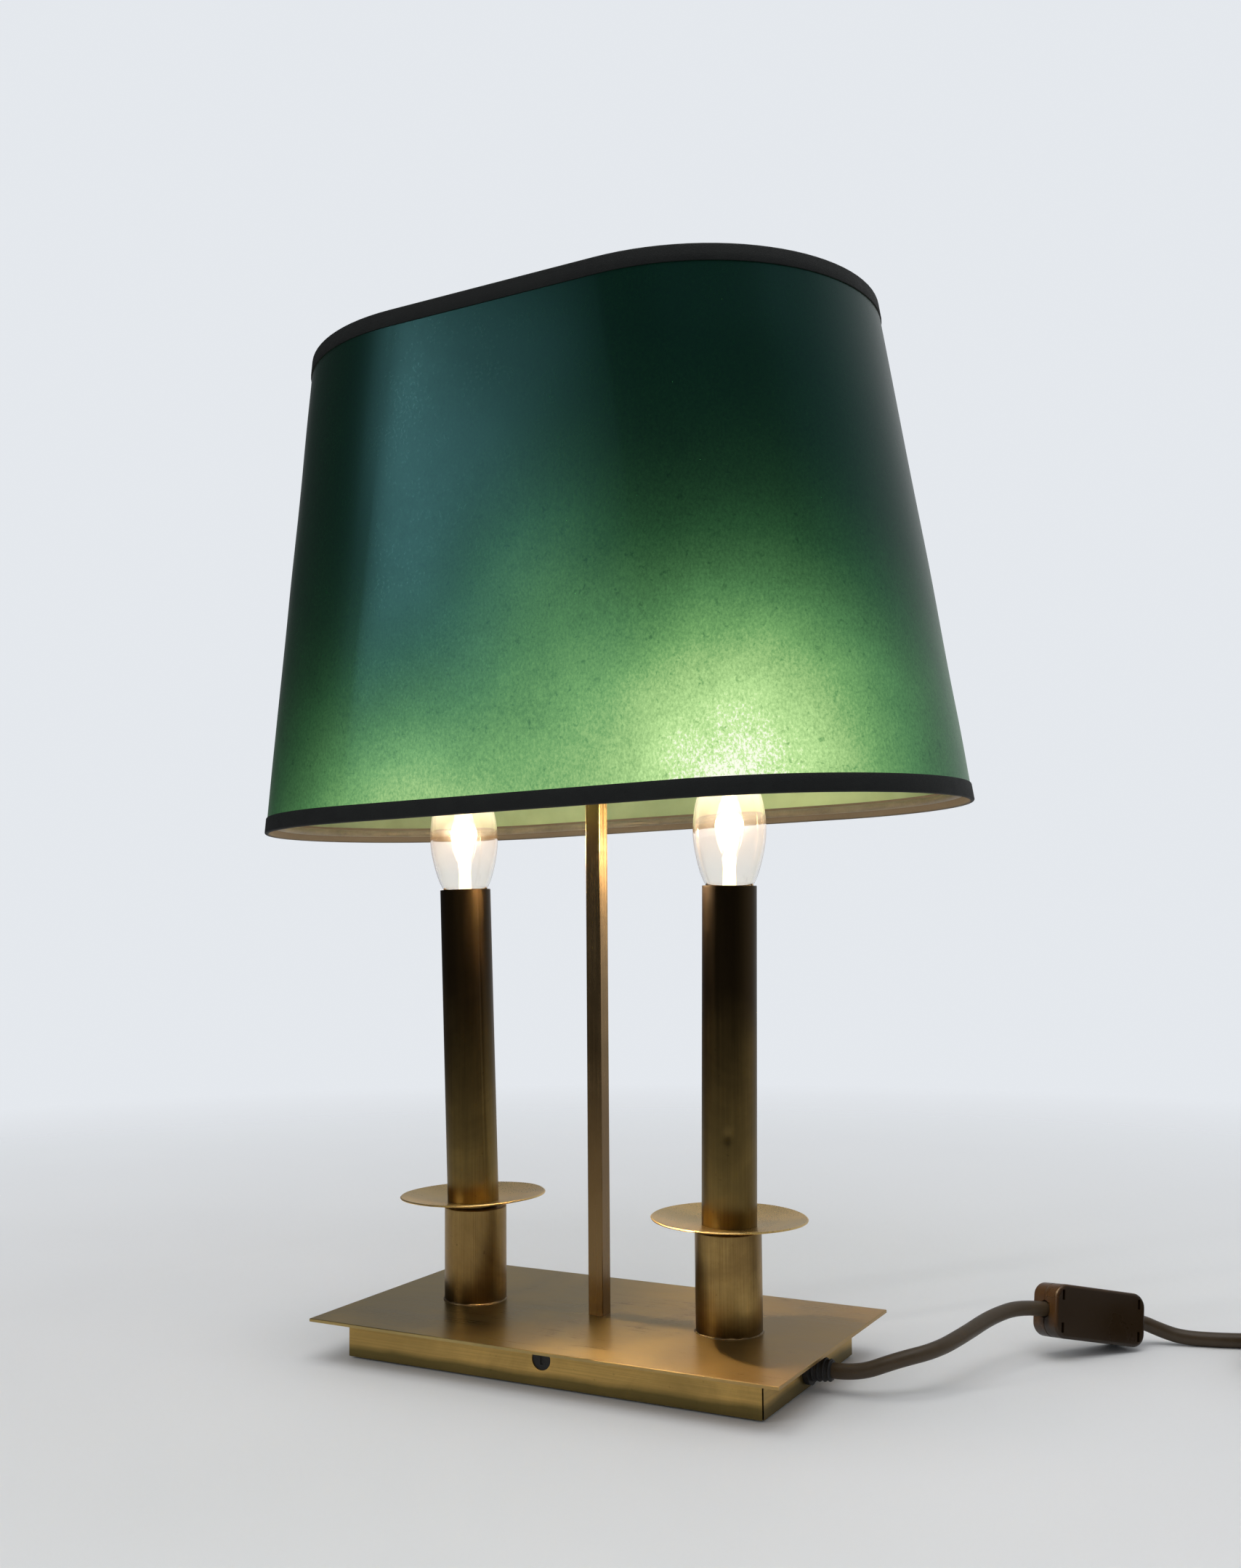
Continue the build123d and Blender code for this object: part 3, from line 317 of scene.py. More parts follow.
ribs, given = planned(
    "relief_ribs", Ribs="Int", Length="Float", Wide_Radius="Float", Narrow_Radius="Float", Rib_Size="Float"
)
last = sums(ribs, "SUBTRACT", given["Ribs"], 1.0)
step = sums(ribs, "DIVIDE", given["Length"], last)
step = node(ribs, "CombineXYZ", {"X": step}).outputs["Vector"]
places = node(ribs, "GeometryNodeMeshLine", {"Count": given["Ribs"], "Offset": step}).outputs["Mesh"]
bead = node(ribs, "GeometryNodeCurveToMesh", {
    "Curve": circle(ribs, 48, given["Wide Radius"]), "Profile Curve": circle(ribs, 8, given["Rib Size"]),
})
number = sums(ribs, "DIVIDE", node(ribs, "GeometryNodeInputIndex").outputs["Index"], last)
taper = sums(ribs, "DIVIDE", given["Narrow Radius"], given["Wide Radius"])
size = sums(ribs, "MULTIPLY_ADD", number, sums(ribs, "SUBTRACT", taper, 1.0), 1.0)
size = node(ribs, "CombineXYZ", {"X": size, "Y": size, "Z": size}).outputs["Vector"]
beads = node(ribs, "GeometryNodeInstanceOnPoints", {
    "Points": places, "Instance": bead.outputs["Mesh"], "Rotation": (0.0, pi / 2, 0.0), "Scale": size,
})
finish_plan(ribs, beads.outputs["Instances"], rubber)
shape = carried_out(
    ribs, Ribs=RELIEF_RIBS, Length=RELIEF_END - RELIEF_START,
    Wide_Radius=RELIEF_WIDE, Narrow_Radius=RELIEF_NARROW, Rib_Size=RIB_SIZE,
)
shape = placed(Matrix.Translation((RELIEF_START, *CORD_EXIT)), shape)
piece("relief_ribs", shape, rubber, "base", "black_rubber")

# --- Socket tubes ---------------------------------------------------------------------------------
# Two short wide brass tubes stand on the plate and carry the pans. Each is soldered round its foot
# and closed by a flat cap.
SOCKET_RADIUS, SOCKET_BORE, SOCKET_EDGE = 0.0157, 0.0145, 0.0003
PLATE_TOP, SOCKET_TOP = 0.0205, 0.0667
CANDLES = {"left": (-0.0717, radians(-1.7)), "right": (0.0689, radians(0.8))}
SOCKET_BRIGHT = (0.5, 0.335, 0.115)
SOCKET_DULL = (0.15, 0.09, 0.032)
SOCKET_PAINTED_SHADE = (0.060, 0.042, 0.018)
SOCKET_BRUSHING = (2100.0, 2100.0, 20.0)
SOLDER, SOLDER_DULL = (0.24, 0.165, 0.075), (0.08, 0.052, 0.025)
SOLDER_BEAD = [(-0.0002, -0.0001), (0.0007, -0.0001), (0.0006, 0.0003), (0.0002, 0.0007), (-0.0002, 0.0009)]
SOLDER_LUMPS, SOLDER_SPREAD, SOLDER_LOW, SOLDER_RISE = 260.0, 2.0, 0.25, 1.2


def soften(outline, size):
    """A closed outline with each corner rounded off over a small size."""
    rounded = []
    for before, here, after in zip(outline[-1:] + outline[:-1], outline, outline[1:] + outline[:1]):
        before, here, after = Vector(before), Vector(here), Vector(after)
        start = (before - here).normalized() * min(size, 0.3 * (before - here).length)
        end = (after - here).normalized() * min(size, 0.3 * (after - here).length)
        rounded.append(here + 1.5 * start)
        for step in range(5):
            t = step / 4
            rounded.append(here + start * (1 - t) ** 2 + end * t**2)
        rounded.append(here + 1.5 * end)
    return [tuple(point) for point in rounded]


def tube(radius, bore, low, high, edge):
    """The outline of a plain tube, its edges rounded off."""
    return soften([(radius, low), (radius, high), (bore, high), (bore, low)], edge)


def turned(outline, place, steps=96, closed=True):
    """Points and faces of an outline of (radius, height) spun round the place's own Z axis."""
    count = len(outline)
    points = []
    for step in range(steps):
        turn = 2 * pi * step / steps
        points += [place @ Vector((r * cos(turn), r * sin(turn), h)) for r, h in outline]
    faces = []
    for step in range(steps):
        here, there = step * count, (step + 1) % steps * count
        for i in range(count if closed else count - 1):
            j = (i + 1) % count
            faces.append((here + i, there + i, there + j, here + j))
    return points, faces


socket_brass = brass("socket_brass", SOCKET_BRIGHT, SOCKET_DULL, SOCKET_BRUSHING, UPRIGHT, 0.33)
# painted shade darkens each socket towards its foot, where it meets the plate
painted_light_along(socket_brass, SOCKET_PAINTED_SHADE, 0.026, 0.016, most=0.8, scale=55.0, reach=-0.014)
solder = plain("solder", SOLDER, SOLDER_DULL, 0.4, clouds=300.0, relief=0.5, metallic=0.9)
for side, (x, lean) in CANDLES.items():
    outline = tube(SOCKET_RADIUS, SOCKET_BORE, PLATE_TOP, SOCKET_TOP, SOCKET_EDGE)
    shape = turned(outline, Matrix.Translation((x, 0, 0)))
    piece(f"socket_{side}", shape, socket_brass, "base", "aged_brass", f"socket_tube_{side}")
    bead = [(SOCKET_RADIUS + out, PLATE_TOP + up) for out, up in SOLDER_BEAD]
    points, faces = turned(bead, Matrix.Identity(4), 160)
    for point in points:
        at = Vector((point.x * SOLDER_LUMPS, point.y * SOLDER_LUMPS, x * 90))
        lump = 0.5 + 0.5 * noise.noise(at)
        out = max(0.0, Vector(point.xy).length - SOCKET_RADIUS)
        point.xy *= (SOCKET_RADIUS + min(out, out * SOLDER_SPREAD * lump)) / (SOCKET_RADIUS + out)
        point.z = PLATE_TOP + (point.z - PLATE_TOP) * (SOLDER_LOW + SOLDER_RISE * lump)
        point.x += x
    piece(f"solder_{side}", (points, faces), solder, "base", "aged_brass")
dress(socket_brass, "socket_caps", "seat_washers")

# --- Drip pans ------------------------------------------------------------------------------------
# Each pan is spun from thin brass sheet, shallow and a little uneven at its rim, and is clamped
# under the candle by a nut. It leans with the candle.
PAN_RADIUS, PAN_FLAT, PAN_HOLE = 0.0368, 0.0150, 0.00525
PAN_UNDER, PAN_TOP, PAN_DEPTH, PAN_SHEET = 0.04815, 0.04895, 0.0035, 0.0008
PAN_ROWS, PAN_CURVE, PAN_UNEVEN, PAN_WAVES = 12, 1.35, 0.0004, 30.0
LIP_IN, LIP_OUT = 0.0003, 0.0002
PAN_BRIGHT = (0.84, 0.60, 0.25)
PAN_DULL = (0.58, 0.40, 0.16)
PAN_GRAIN = (1400.0, 1400.0, 1400.0)
candle_places = {
    side: Matrix.Translation((x, 0, PLATE_TOP)) @ Matrix.Rotation(lean, 4, "Y")
    for side, (x, lean) in CANDLES.items()
}

pan_brass = brass("pan_brass", PAN_BRIGHT, PAN_DULL, PAN_GRAIN, UPRIGHT, 0.30, relief=0.02)
pan_brass.node_tree.nodes["Principled BSDF"].inputs["Anisotropic"].default_value = 0.0
for side, place in candle_places.items():
    slope = [PAN_FLAT + (PAN_RADIUS - PAN_FLAT) * row / PAN_ROWS for row in range(PAN_ROWS + 1)]
    rise = [PAN_DEPTH * (row / PAN_ROWS) ** PAN_CURVE for row in range(PAN_ROWS + 1)]
    under = [(r, PAN_UNDER + up) for r, up in zip(slope, rise)]
    above = [(r - LIP_IN, PAN_TOP + up) for r, up in zip(slope, rise)]
    rim = [(PAN_RADIUS + LIP_OUT, PAN_UNDER + PAN_DEPTH + PAN_SHEET / 2)]
    outline = [(PAN_HOLE, PAN_UNDER)] + under + rim + above[::-1] + [(PAN_HOLE, PAN_TOP)]
    points, faces = turned(outline, Matrix.Identity(4), 128)
    for point in points:
        share = max(0.0, (Vector(point.xy).length - PAN_FLAT) / (PAN_RADIUS - PAN_FLAT))
        at = Vector((point.x * PAN_WAVES, point.y * PAN_WAVES, len(side)))
        point.z += PAN_UNEVEN * share * noise.noise(at)
    piece(f"pan_{side}", placed(place, (points, faces)), pan_brass, "base", "aged_brass", f"drip_pan_{side}")

# --- Candle tubes ---------------------------------------------------------------------------------
# The candles are plain brass tubes, drawn and satin, with a painted dark reflection towards their
# tops, and brighter towards their feet.
CANDLE_RADIUS, CANDLE_BORE, CANDLE_EDGE = 0.0130, 0.0122, 0.0002
CANDLE_FOOT, CANDLE_RIM, CANDLE_ROW = 0.04895, 0.20745, 0.0022
CANDLE_BRIGHT = (0.30, 0.20, 0.062)
CANDLE_DULL = (0.12, 0.082, 0.028)
CANDLE_PAINTED_REFLECTION = (0.042, 0.027, 0.012)
CANDLE_BRUSHING = (800.0, 800.0, 14.0)
SEAM_TURN, SEAM_REACH, SEAM_DIP = radians(-26.4), 0.0006, 0.0003
DENT_TURN, DENT_HEIGHT, DENT_REACH, DENT_DIP = radians(-69.0), 0.0915, 0.0021, 0.00035

candle_brass = brass("candle_brass", CANDLE_BRIGHT, CANDLE_DULL, CANDLE_BRUSHING, UPRIGHT, 0.34)
# painted dark reflection, deepest at the top of each candle
painted_light_along(candle_brass, CANDLE_PAINTED_REFLECTION, 0.11, 0.205, scale=30.0, reach=0.05, detail=5.0)


def divided(outline, longest):
    """The same closed outline with points added along its long straight lines."""
    full = []
    for here, after in zip(outline, outline[1:] + outline[:1]):
        here, after = Vector(here), Vector(after)
        parts = max(1, round((after - here).length / longest))
        full += [tuple(here.lerp(after, part / parts)) for part in range(parts)]
    return full


def seam_dip(point):
    """How deep the left candle's seam is at a point."""
    turn = Vector(point.xy).angle_signed(Vector((1.0, 0.0)))
    return SEAM_DIP * max(0.0, 1.0 - abs(turn - SEAM_TURN) * CANDLE_RADIUS / SEAM_REACH)


def dent_dip(point):
    """How deep the right candle's small dent is at a point."""
    spot = Vector((cos(DENT_TURN) * CANDLE_RADIUS, sin(DENT_TURN) * CANDLE_RADIUS, DENT_HEIGHT))
    return DENT_DIP * exp(-((point - spot).length / DENT_REACH) ** 2)


marks = {"left": seam_dip, "right": dent_dip}
for side, place in candle_places.items():
    outline = tube(CANDLE_RADIUS, CANDLE_BORE, CANDLE_FOOT, CANDLE_RIM, CANDLE_EDGE)
    points, faces = turned(divided(outline, CANDLE_ROW), Matrix.Identity(4), 160)
    for point in points:
        point.xy *= 1.0 - marks[side](point) / CANDLE_RADIUS
    shape = placed(place, (points, faces))
    piece(f"candle_{side}", shape, candle_brass, "base", "aged_brass", f"candle_tube_{side}")

# --- Lampholders ----------------------------------------------------------------------------------
# Pale moulded lampholders stand inside the candles on threaded rods, with screw shells and spring
# contacts of plated steel.
HOLDER, HOLDER_DARK = (0.72, 0.69, 0.60), (0.55, 0.50, 0.40)
holder = plain("holder_plastic", HOLDER, HOLDER_DARK, 0.45, clouds=70.0)
dress(holder, "lampholder_left", "lampholder_right", "terminal_block", "cord_clamp")

# --- Bulbs ----------------------------------------------------------------------------------------
# Clear candle bulbs, lit: blown glass over a drawn glass mount that holds the filament on two
# leads, cemented into a threaded aluminium cap.
BULB_BASE, BULB_HEIGHT, BULB_RADIUS, BULB_STEPS = 0.19905, 0.074, 0.0175, 64
GLASS_WALL, GLASS_TIP, GLASS_MIDDLE, GLASS_INNER = 0.0008, 0.004, 0.47, 0.978
# the outline as shares of the radius and of the height
BULB_SHAPE = [
    (0.405, 0.0),
    (0.475, 0.045),
    (0.63, 0.108),
    (0.8, 0.2),
    (0.95, 0.345),
    (1.0, 0.475),
    (0.945, 0.62),
    (0.76, 0.765),
    (0.49, 0.885),
    (0.235, 0.96),
    (0.0, 1.0),
]
GLASS_LIT, MOUNT_LIT = (0.238, 0.276), (0.205, 0.245)
GLASS_GLOW = [(0.0, (0.0, 0.0, 0.0)), (0.5, (0.06, 0.03, 0.01)), (1.0, (0.34, 0.29, 0.21))]
MOUNT, MOUNT_DARK = (0.9, 0.88, 0.82), (0.7, 0.68, 0.6)
MOUNT_GLOW = [(0.0, (0.9, 0.42, 0.14)), (0.5, (1.0, 0.72, 0.40)), (1.0, (1.0, 0.88, 0.66))]
CAP, CAP_DULL = (0.66, 0.65, 0.62), (0.42, 0.41, 0.38)
FILAMENT, FILAMENT_DARK, FILAMENT_GLOW = (1.0, 0.8, 0.5), (1.0, 0.7, 0.4), (1.0, 0.82, 0.56)
MOUNT_LINE = [
    (0.0, -0.0160),
    (0.0058, -0.0160),
    (0.0046, -0.0110),
    (0.0037, -0.0020),
    (0.0033, 0.0080),
    (0.0030, 0.0170),
    (0.0035, 0.0215),
    (0.0026, 0.0240),
    (0.0, 0.0247),
]
LEADS_TOP, LEADS_APART, LEAD_RADIUS = 0.0364, 0.0060, 0.0004
LEAD_LINE = [(0.0014, 0.0225), (0.0030, 0.0270), (LEADS_APART, LEADS_TOP)]
FILAMENT_LINE = [
    (-LEADS_APART, 0.0, LEADS_TOP),
    (-0.0040, 0.0008, 0.0405),
    (-0.0018, 0.0010, 0.0372),
    (0.0, 0.0, 0.0398),
    (0.0018, -0.0010, 0.0372),
    (0.0040, -0.0008, 0.0405),
    (LEADS_APART, 0.0, LEADS_TOP),
]
FILAMENT_TURNS, FILAMENT_STEPS, FILAMENT_COIL, FILAMENT_WIRE = 34.0, 400, 0.00042, 0.00016


def flowing(points, parts):
    """A smooth line through the points, with extra points between them."""
    line = []
    ends = [2 * Vector(points[0]) - Vector(points[1])], [2 * Vector(points[-1]) - Vector(points[-2])]
    run = ends[0] + [Vector(p) for p in points] + ends[1]
    for a, b, c, d in zip(run, run[1:], run[2:], run[3:]):
        for step in range(parts):
            t = step / parts
            bend, twist = 2 * a - 5 * b + 4 * c - d, 3 * b - a - 3 * c + d
            line.append((2 * b + t * (c - a) + t * t * bend + t**3 * twist) / 2)
    return line + [run[-2]]


def shining(material, light, strength=1.0):
    """Gives a finish light of its own, in one colour or in the colours that a socket carries."""
    tree = material.node_tree
    inputs = tree.nodes["Principled BSDF"].inputs
    if isinstance(light, bpy.types.NodeSocket):
        tree.links.new(light, inputs["Emission Color"])
    else:
        inputs["Emission Color"].default_value = (*light, 1.0)
    inputs["Emission Strength"].default_value = strength


glass, tree, shader = finish_of("bulb_glass", (1.0, 0.97, 0.92), 0.02, Transmission_Weight=1.0, IOR=1.45)
place = place_of(tree)
swirl = mottle(tree, place, 90.0, detail=2.0)
lit = sums(tree, "MULTIPLY_ADD", swirl, 0.006, parts_of(tree, place)["Z"])
lit = spread(tree, lit, *GLASS_LIT)
shining(glass, shades(tree, lit, GLASS_GLOW), 0.9)
tree.links.new(spread(tree, swirl, 0.3, 0.8, 0.01, 0.06), shader.inputs["Roughness"])

mount = plain("mount_glass", MOUNT, MOUNT_DARK, 0.15, clouds=200.0)
tree = mount.node_tree
height = spread(tree, parts_of(tree, place_of(tree))["Z"], *MOUNT_LIT)
shining(mount, shades(tree, height, MOUNT_GLOW), 1.6)
cap_metal = plain("cap_aluminium", CAP, CAP_DULL, 0.35, clouds=150.0, metallic=1.0)
filament = plain("filament", FILAMENT, FILAMENT_DARK, 0.5, clouds=300.0)
shining(filament, FILAMENT_GLOW, 18.0)

# a wire wound round a line, or along it where its coil has no radius
wound, given = planned(
    "wound_wire", Line="Geometry", Turns="Float", Coil_Radius="Float", Wire_Radius="Float", Steps="Int"
)
line = node(wound, "GeometryNodeMeshToCurve", {"Mesh": given["Line"]}).outputs["Curve"]
line = node(wound, "GeometryNodeResampleCurve", {"Curve": line, "Count": given["Steps"]}).outputs["Curve"]
along = node(wound, "GeometryNodeSplineParameter").outputs["Factor"]
turn = sums(wound, "MULTIPLY", along, sums(wound, "MULTIPLY", given["Turns"], 2 * pi))
out = node(wound, "GeometryNodeInputNormal").outputs["Normal"]
onward = node(wound, "GeometryNodeInputTangent").outputs["Tangent"]
aside = aims(wound, "CROSS_PRODUCT", onward, out)
sway = []
for direction, wave in ((out, "COSINE"), (aside, "SINE")):
    amount = sums(wound, "MULTIPLY", sums(wound, wave, turn), given["Coil Radius"])
    sway.append(node(wound, "VectorMath", {0: direction, 3: amount}, operation="SCALE").outputs["Vector"])
offset = aims(wound, "ADD", *sway)
line = node(wound, "GeometryNodeSetPosition", {"Geometry": line, "Offset": offset}).outputs["Geometry"]
wire = circle(wound, 6, given["Wire Radius"])
wire = node(wound, "GeometryNodeCurveToMesh", {"Curve": line, "Profile Curve": wire, "Fill Caps": True})
finish_plan(wound, wire.outputs["Mesh"], filament)


def wire_along(points, **values):
    """A wire that the tree winds along some points."""
    edges = [(number, number + 1) for number in range(len(points) - 1)]
    return carried_out(wound, points, edges, **values)


for side, place in candle_places.items():
    outer = [(r * BULB_RADIUS, BULB_BASE + h * BULB_HEIGHT) for r, h in BULB_SHAPE]
    outer = [tuple(point) for point in flowing(outer, 5)]
    middle = BULB_BASE + BULB_HEIGHT * GLASS_MIDDLE
    thinned = [(max(0.0, r - GLASS_WALL * min(1.0, r / GLASS_TIP)), h - middle) for r, h in outer]
    inner = [(r, middle + above * GLASS_INNER) for r, above in thinned]
    points, faces = turned(outer + inner[::-1], place, BULB_STEPS, closed=False)
    count = 2 * len(outer)
    for step in range(BULB_STEPS):
        here, there = step * count, (step + 1) % BULB_STEPS * count
        faces.append((here, there, there + count - 1, here + count - 1))
    body = f"bulb_{side}_glass"
    bulb = piece(f"glass_{side}", (points, faces), glass, body, "bulb_glass", f"bulb_glass_{side}")
    bulb.visible_shadow = False
    dress(cap_metal, f"bulb_cap_{side}")
    seat = place @ Matrix.Translation((0.0, 0.0, BULB_BASE))
    points, faces = turned(MOUNT_LINE, Matrix.Identity(4), 32, closed=False)
    for end in (-1.0, 1.0):
        lead = [(end * out, 0.0, up) for out, up in LEAD_LINE]
        lead, lead_faces = wire_along(lead, Turns=0.0, Coil_Radius=0.0, Wire_Radius=LEAD_RADIUS, Steps=8)
        faces += [tuple(index + len(points) for index in face) for face in lead_faces]
        points += lead
    piece(f"mount_{side}", placed(seat, (points, faces)), mount, body, "mount_glass", f"bulb_mount_{side}")
    shape = wire_along(
        [tuple(point) for point in flowing(FILAMENT_LINE, 8)],
        Turns=FILAMENT_TURNS, Steps=FILAMENT_STEPS, Coil_Radius=FILAMENT_COIL, Wire_Radius=FILAMENT_WIRE,
    )
    piece(f"filament_{side}", placed(seat, shape), filament, body, "filament", f"bulb_filament_{side}")

# --- Stem and finial ------------------------------------------------------------------------------
# A square brass bar stands on the plate, screwed from below, and ends in a small turned finial
# above the shade. Painted shade makes it browner towards its foot, away from the bulbs' light.
STEM_BRIGHT = (0.47, 0.31, 0.145)
STEM_DULL = (0.23, 0.15, 0.066)
STEM_PAINTED_SHADE = (0.14, 0.082, 0.032)
STEM_BRUSHING = (900.0, 900.0, 16.0)

stem_brass = brass("stem_brass", STEM_BRIGHT, STEM_DULL, STEM_BRUSHING, UPRIGHT, 0.25)
# painted shade, browner towards the stem's foot
painted_light_along(stem_brass, STEM_PAINTED_SHADE, 0.20, 0.11, most=0.75)
dress(stem_brass, "stem", "finial")

# --- Shade carrier --------------------------------------------------------------------------------
# A turned brass sleeve slides on the stem and is clamped by a flat key; a ring nut holds the
# shade's washer on its flange.
NUT_RADIUS, NUT_LOW, NUT_HIGH = 0.0110, 0.4804, 0.4846
NUT_RIDGES, RIDGE_SIZE = 48, 0.0005

dress(socket_brass, "shade_carrier", "ring_nut", "clamp_key")
knurl, given = planned("nut_knurl", Ridges="Int", Radius="Float", Height="Float", Ridge_Size="Float")
rim = node(knurl, "GeometryNodeMeshCircle", {"Vertices": given["Ridges"], "Radius": given["Radius"]})
ridge = {"Vertices": 4, "Radius": given["Ridge Size"], "Depth": given["Height"]}
ridge = node(knurl, "GeometryNodeMeshCylinder", ridge).outputs["Mesh"]
number = node(knurl, "GeometryNodeInputIndex").outputs["Index"]
turn = sums(knurl, "DIVIDE", sums(knurl, "MULTIPLY", number, 2 * pi), given["Ridges"])
turn = node(knurl, "CombineXYZ", {"Z": turn}).outputs["Vector"]
ridges = {"Points": rim.outputs["Mesh"], "Instance": ridge, "Rotation": turn}
ridges = node(knurl, "GeometryNodeInstanceOnPoints", ridges).outputs["Instances"]
finish_plan(knurl, ridges, socket_brass)
shape = carried_out(
    knurl, Ridges=NUT_RIDGES, Radius=NUT_RADIUS, Height=NUT_HIGH - NUT_LOW, Ridge_Size=RIDGE_SIZE
)
shape = placed(Matrix.Translation((0.0, 0.0, (NUT_LOW + NUT_HIGH) / 2)), shape)
piece("nut_knurl", shape, socket_brass, "shade", "aged_brass", sharp=30.0)

# --- Shade paper and lining -----------------------------------------------------------------------
# A long oval cone of mottled green parchment paper, glued to a pale lining and lapped in a seam at
# the back. The bulbs light it from inside, so that its lower part glows.
SHADE_LOW, SHADE_HIGH, SHADE_HEIGHT = (0.3674, 0.1934), (0.2988, 0.1876), 0.2406
SHADE_FOOT, SHADE_LEAN, LEAN_HEIGHT = 0.2616, radians(1.5), 0.1
PAPER_THICK, PAPER_SLACK, GLUE, BEND_EASE = 0.0006, 0.00005, 0.00003, 0.009
PAPER_WAVES, EDGE_HOLD, HOLD_FADE = 0.0006, 0.008, 0.03
SEAM_STATIONS, SEAM_RISE, WALL_ROWS = 3, 0.00062, 40
SIDE_STATIONS, END_STATIONS = 64, 48
PAPER, PAPER_DARK, PAPER_SHEEN = (0.002, 0.015, 0.006), (0.001, 0.008, 0.004), (0.22, 0.90, 1.0)
PAPER_GLOW = [
    (0.0, (0.0, 0.0, 0.0)),
    (0.06, (0.018, 0.06, 0.020)),
    (0.20, (0.075, 0.20, 0.068)),
    (0.37, (0.17, 0.37, 0.125)),
    (0.54, (0.32, 0.54, 0.20)),
    (0.77, (0.50, 0.77, 0.31)),
    (0.88, (0.64, 0.88, 0.40)),
    (1.0, (0.98, 0.99, 0.84)),
]
LINING, LINING_DARK = (0.33, 0.40, 0.24), (0.25, 0.30, 0.17)
LINING_GLOW = [(0.0, (0.010, 0.016, 0.006)), (0.3, (0.07, 0.10, 0.035)), (1.0, (0.30, 0.36, 0.14))]
# each patch of light on the shade: its place along X, half width, height, fading and strength
LIGHT_PATCHES = [
    (0.073, 0.066, 0.056, 0.020, 1.10),
    (-0.088, 0.057, 0.018, 0.021, 0.86),
    (-0.019, 0.040, 0.114, 0.020, 0.16),
]
PATCH_SLANT, FAINT_GLOW, FAINT_HEIGHT = 0.45, 0.012, 0.10
shade_place = Matrix.Translation((0, 0, SHADE_FOOT + LEAN_HEIGHT)) @ Matrix.Rotation(-SHADE_LEAN, 4, "Y")


def oval_stations(along, round_end):
    """Places round the oval, from the middle of its back: how far along its side, and the direction."""
    straight = [2 * step / along - 1 for step in range(along)]
    turn = [pi * step / round_end - pi / 2 for step in range(round_end)]
    front = [(share, -pi / 2) for share in straight] + [(1.0, angle) for angle in turn]
    back = [(-share, angle + pi) for share, angle in front]
    return back[along // 2:] + front + back[:along // 2]


def shade_point(station, height, out):
    """A point of the shade at a height above its lower edge, so far out from the paper's face."""
    share, angle = station
    up = height / SHADE_HEIGHT
    length = SHADE_LOW[0] + up * (SHADE_HIGH[0] - SHADE_LOW[0])
    width = SHADE_LOW[1] + up * (SHADE_HIGH[1] - SHADE_LOW[1])
    flat, radius = (length - width) / 2, width / 2 + out
    x, y = share * flat + radius * cos(angle), radius * sin(angle)
    return shade_place @ Vector((x, y, height - LEAN_HEIGHT))


def swept(stations, section, stray=None, lap=None):
    """A closed section of (out, height) carried round the oval; a lap leaves its two ends open."""
    points, faces = [], []
    count, rounds = len(section), len(stations)
    for number, station in enumerate(stations):
        for out, height in section:
            more = stray(station, height) if stray else 0.0
            more += lap(number) if lap else 0.0
            points.append(shade_point(station, height, out + more))
    for number in range(rounds - 1 if lap else rounds):
        here, there = number * count, (number + 1) % rounds * count
        for i in range(count):
            j = (i + 1) % count
            faces.append((here + i, there + i, there + j, here + j))
    if lap:
        half = count // 2
        for start in (0, (rounds - 1) * count):
            for i in range(half - 1):
                faces.append((start + i, start + i + 1, start + count - 2 - i, start + count - 1 - i))
    return points, faces


def paper_stray(station, height):
    """Slight waves in the paper, none where the tapes hold it."""
    free = 1.0
    for from_edge in (height, SHADE_HEIGHT - height):
        free *= min(1.0, max(0.0, (from_edge - EDGE_HOLD) / HOLD_FADE))
    return PAPER_WAVES * free * noise.noise(shade_point(station, height, 0.0) * 16.0)


def wall_section(out, thickness):
    """A thin wall's section: up its outer face and down its inner one."""
    heights = [SHADE_HEIGHT * row / (WALL_ROWS - 1) for row in range(WALL_ROWS)]
    return [(out, height) for height in heights] + [(out - thickness, height) for height in heights[::-1]]


def lit_by_bulbs(tree, place):
    """How strongly the bulbs shine through the shade, from its lower edge up."""
    at = parts_of(tree, place)
    up = sums(tree, "MULTIPLY_ADD", at["X"], -sin(SHADE_LEAN), at["Z"])
    up = sums(tree, "SUBTRACT", up, SHADE_FOOT)
    near = sums(tree, "MULTIPLY", sums(tree, "MINIMUM", at["Y"], 0.0), PATCH_SLANT)
    along = sums(tree, "ADD", at["X"], near)
    total = 0.0
    for middle, width, height, fading, strength in LIGHT_PATCHES:
        aside = sums(tree, "DIVIDE", sums(tree, "SUBTRACT", along, middle), width)
        aside = sums(tree, "EXPONENT", sums(tree, "MULTIPLY", sums(tree, "MULTIPLY", aside, aside), -1.0))
        rise = sums(tree, "DIVIDE", sums(tree, "SUBTRACT", up, height), fading)
        fade = sums(tree, "DIVIDE", strength, sums(tree, "ADD", sums(tree, "EXPONENT", rise), 1.0))
        total = sums(tree, "MULTIPLY_ADD", aside, fade, total)
    faint = sums(tree, "EXPONENT", sums(tree, "DIVIDE", up, -FAINT_HEIGHT))
    return sums(tree, "ADD", total, sums(tree, "MULTIPLY", faint, FAINT_GLOW))


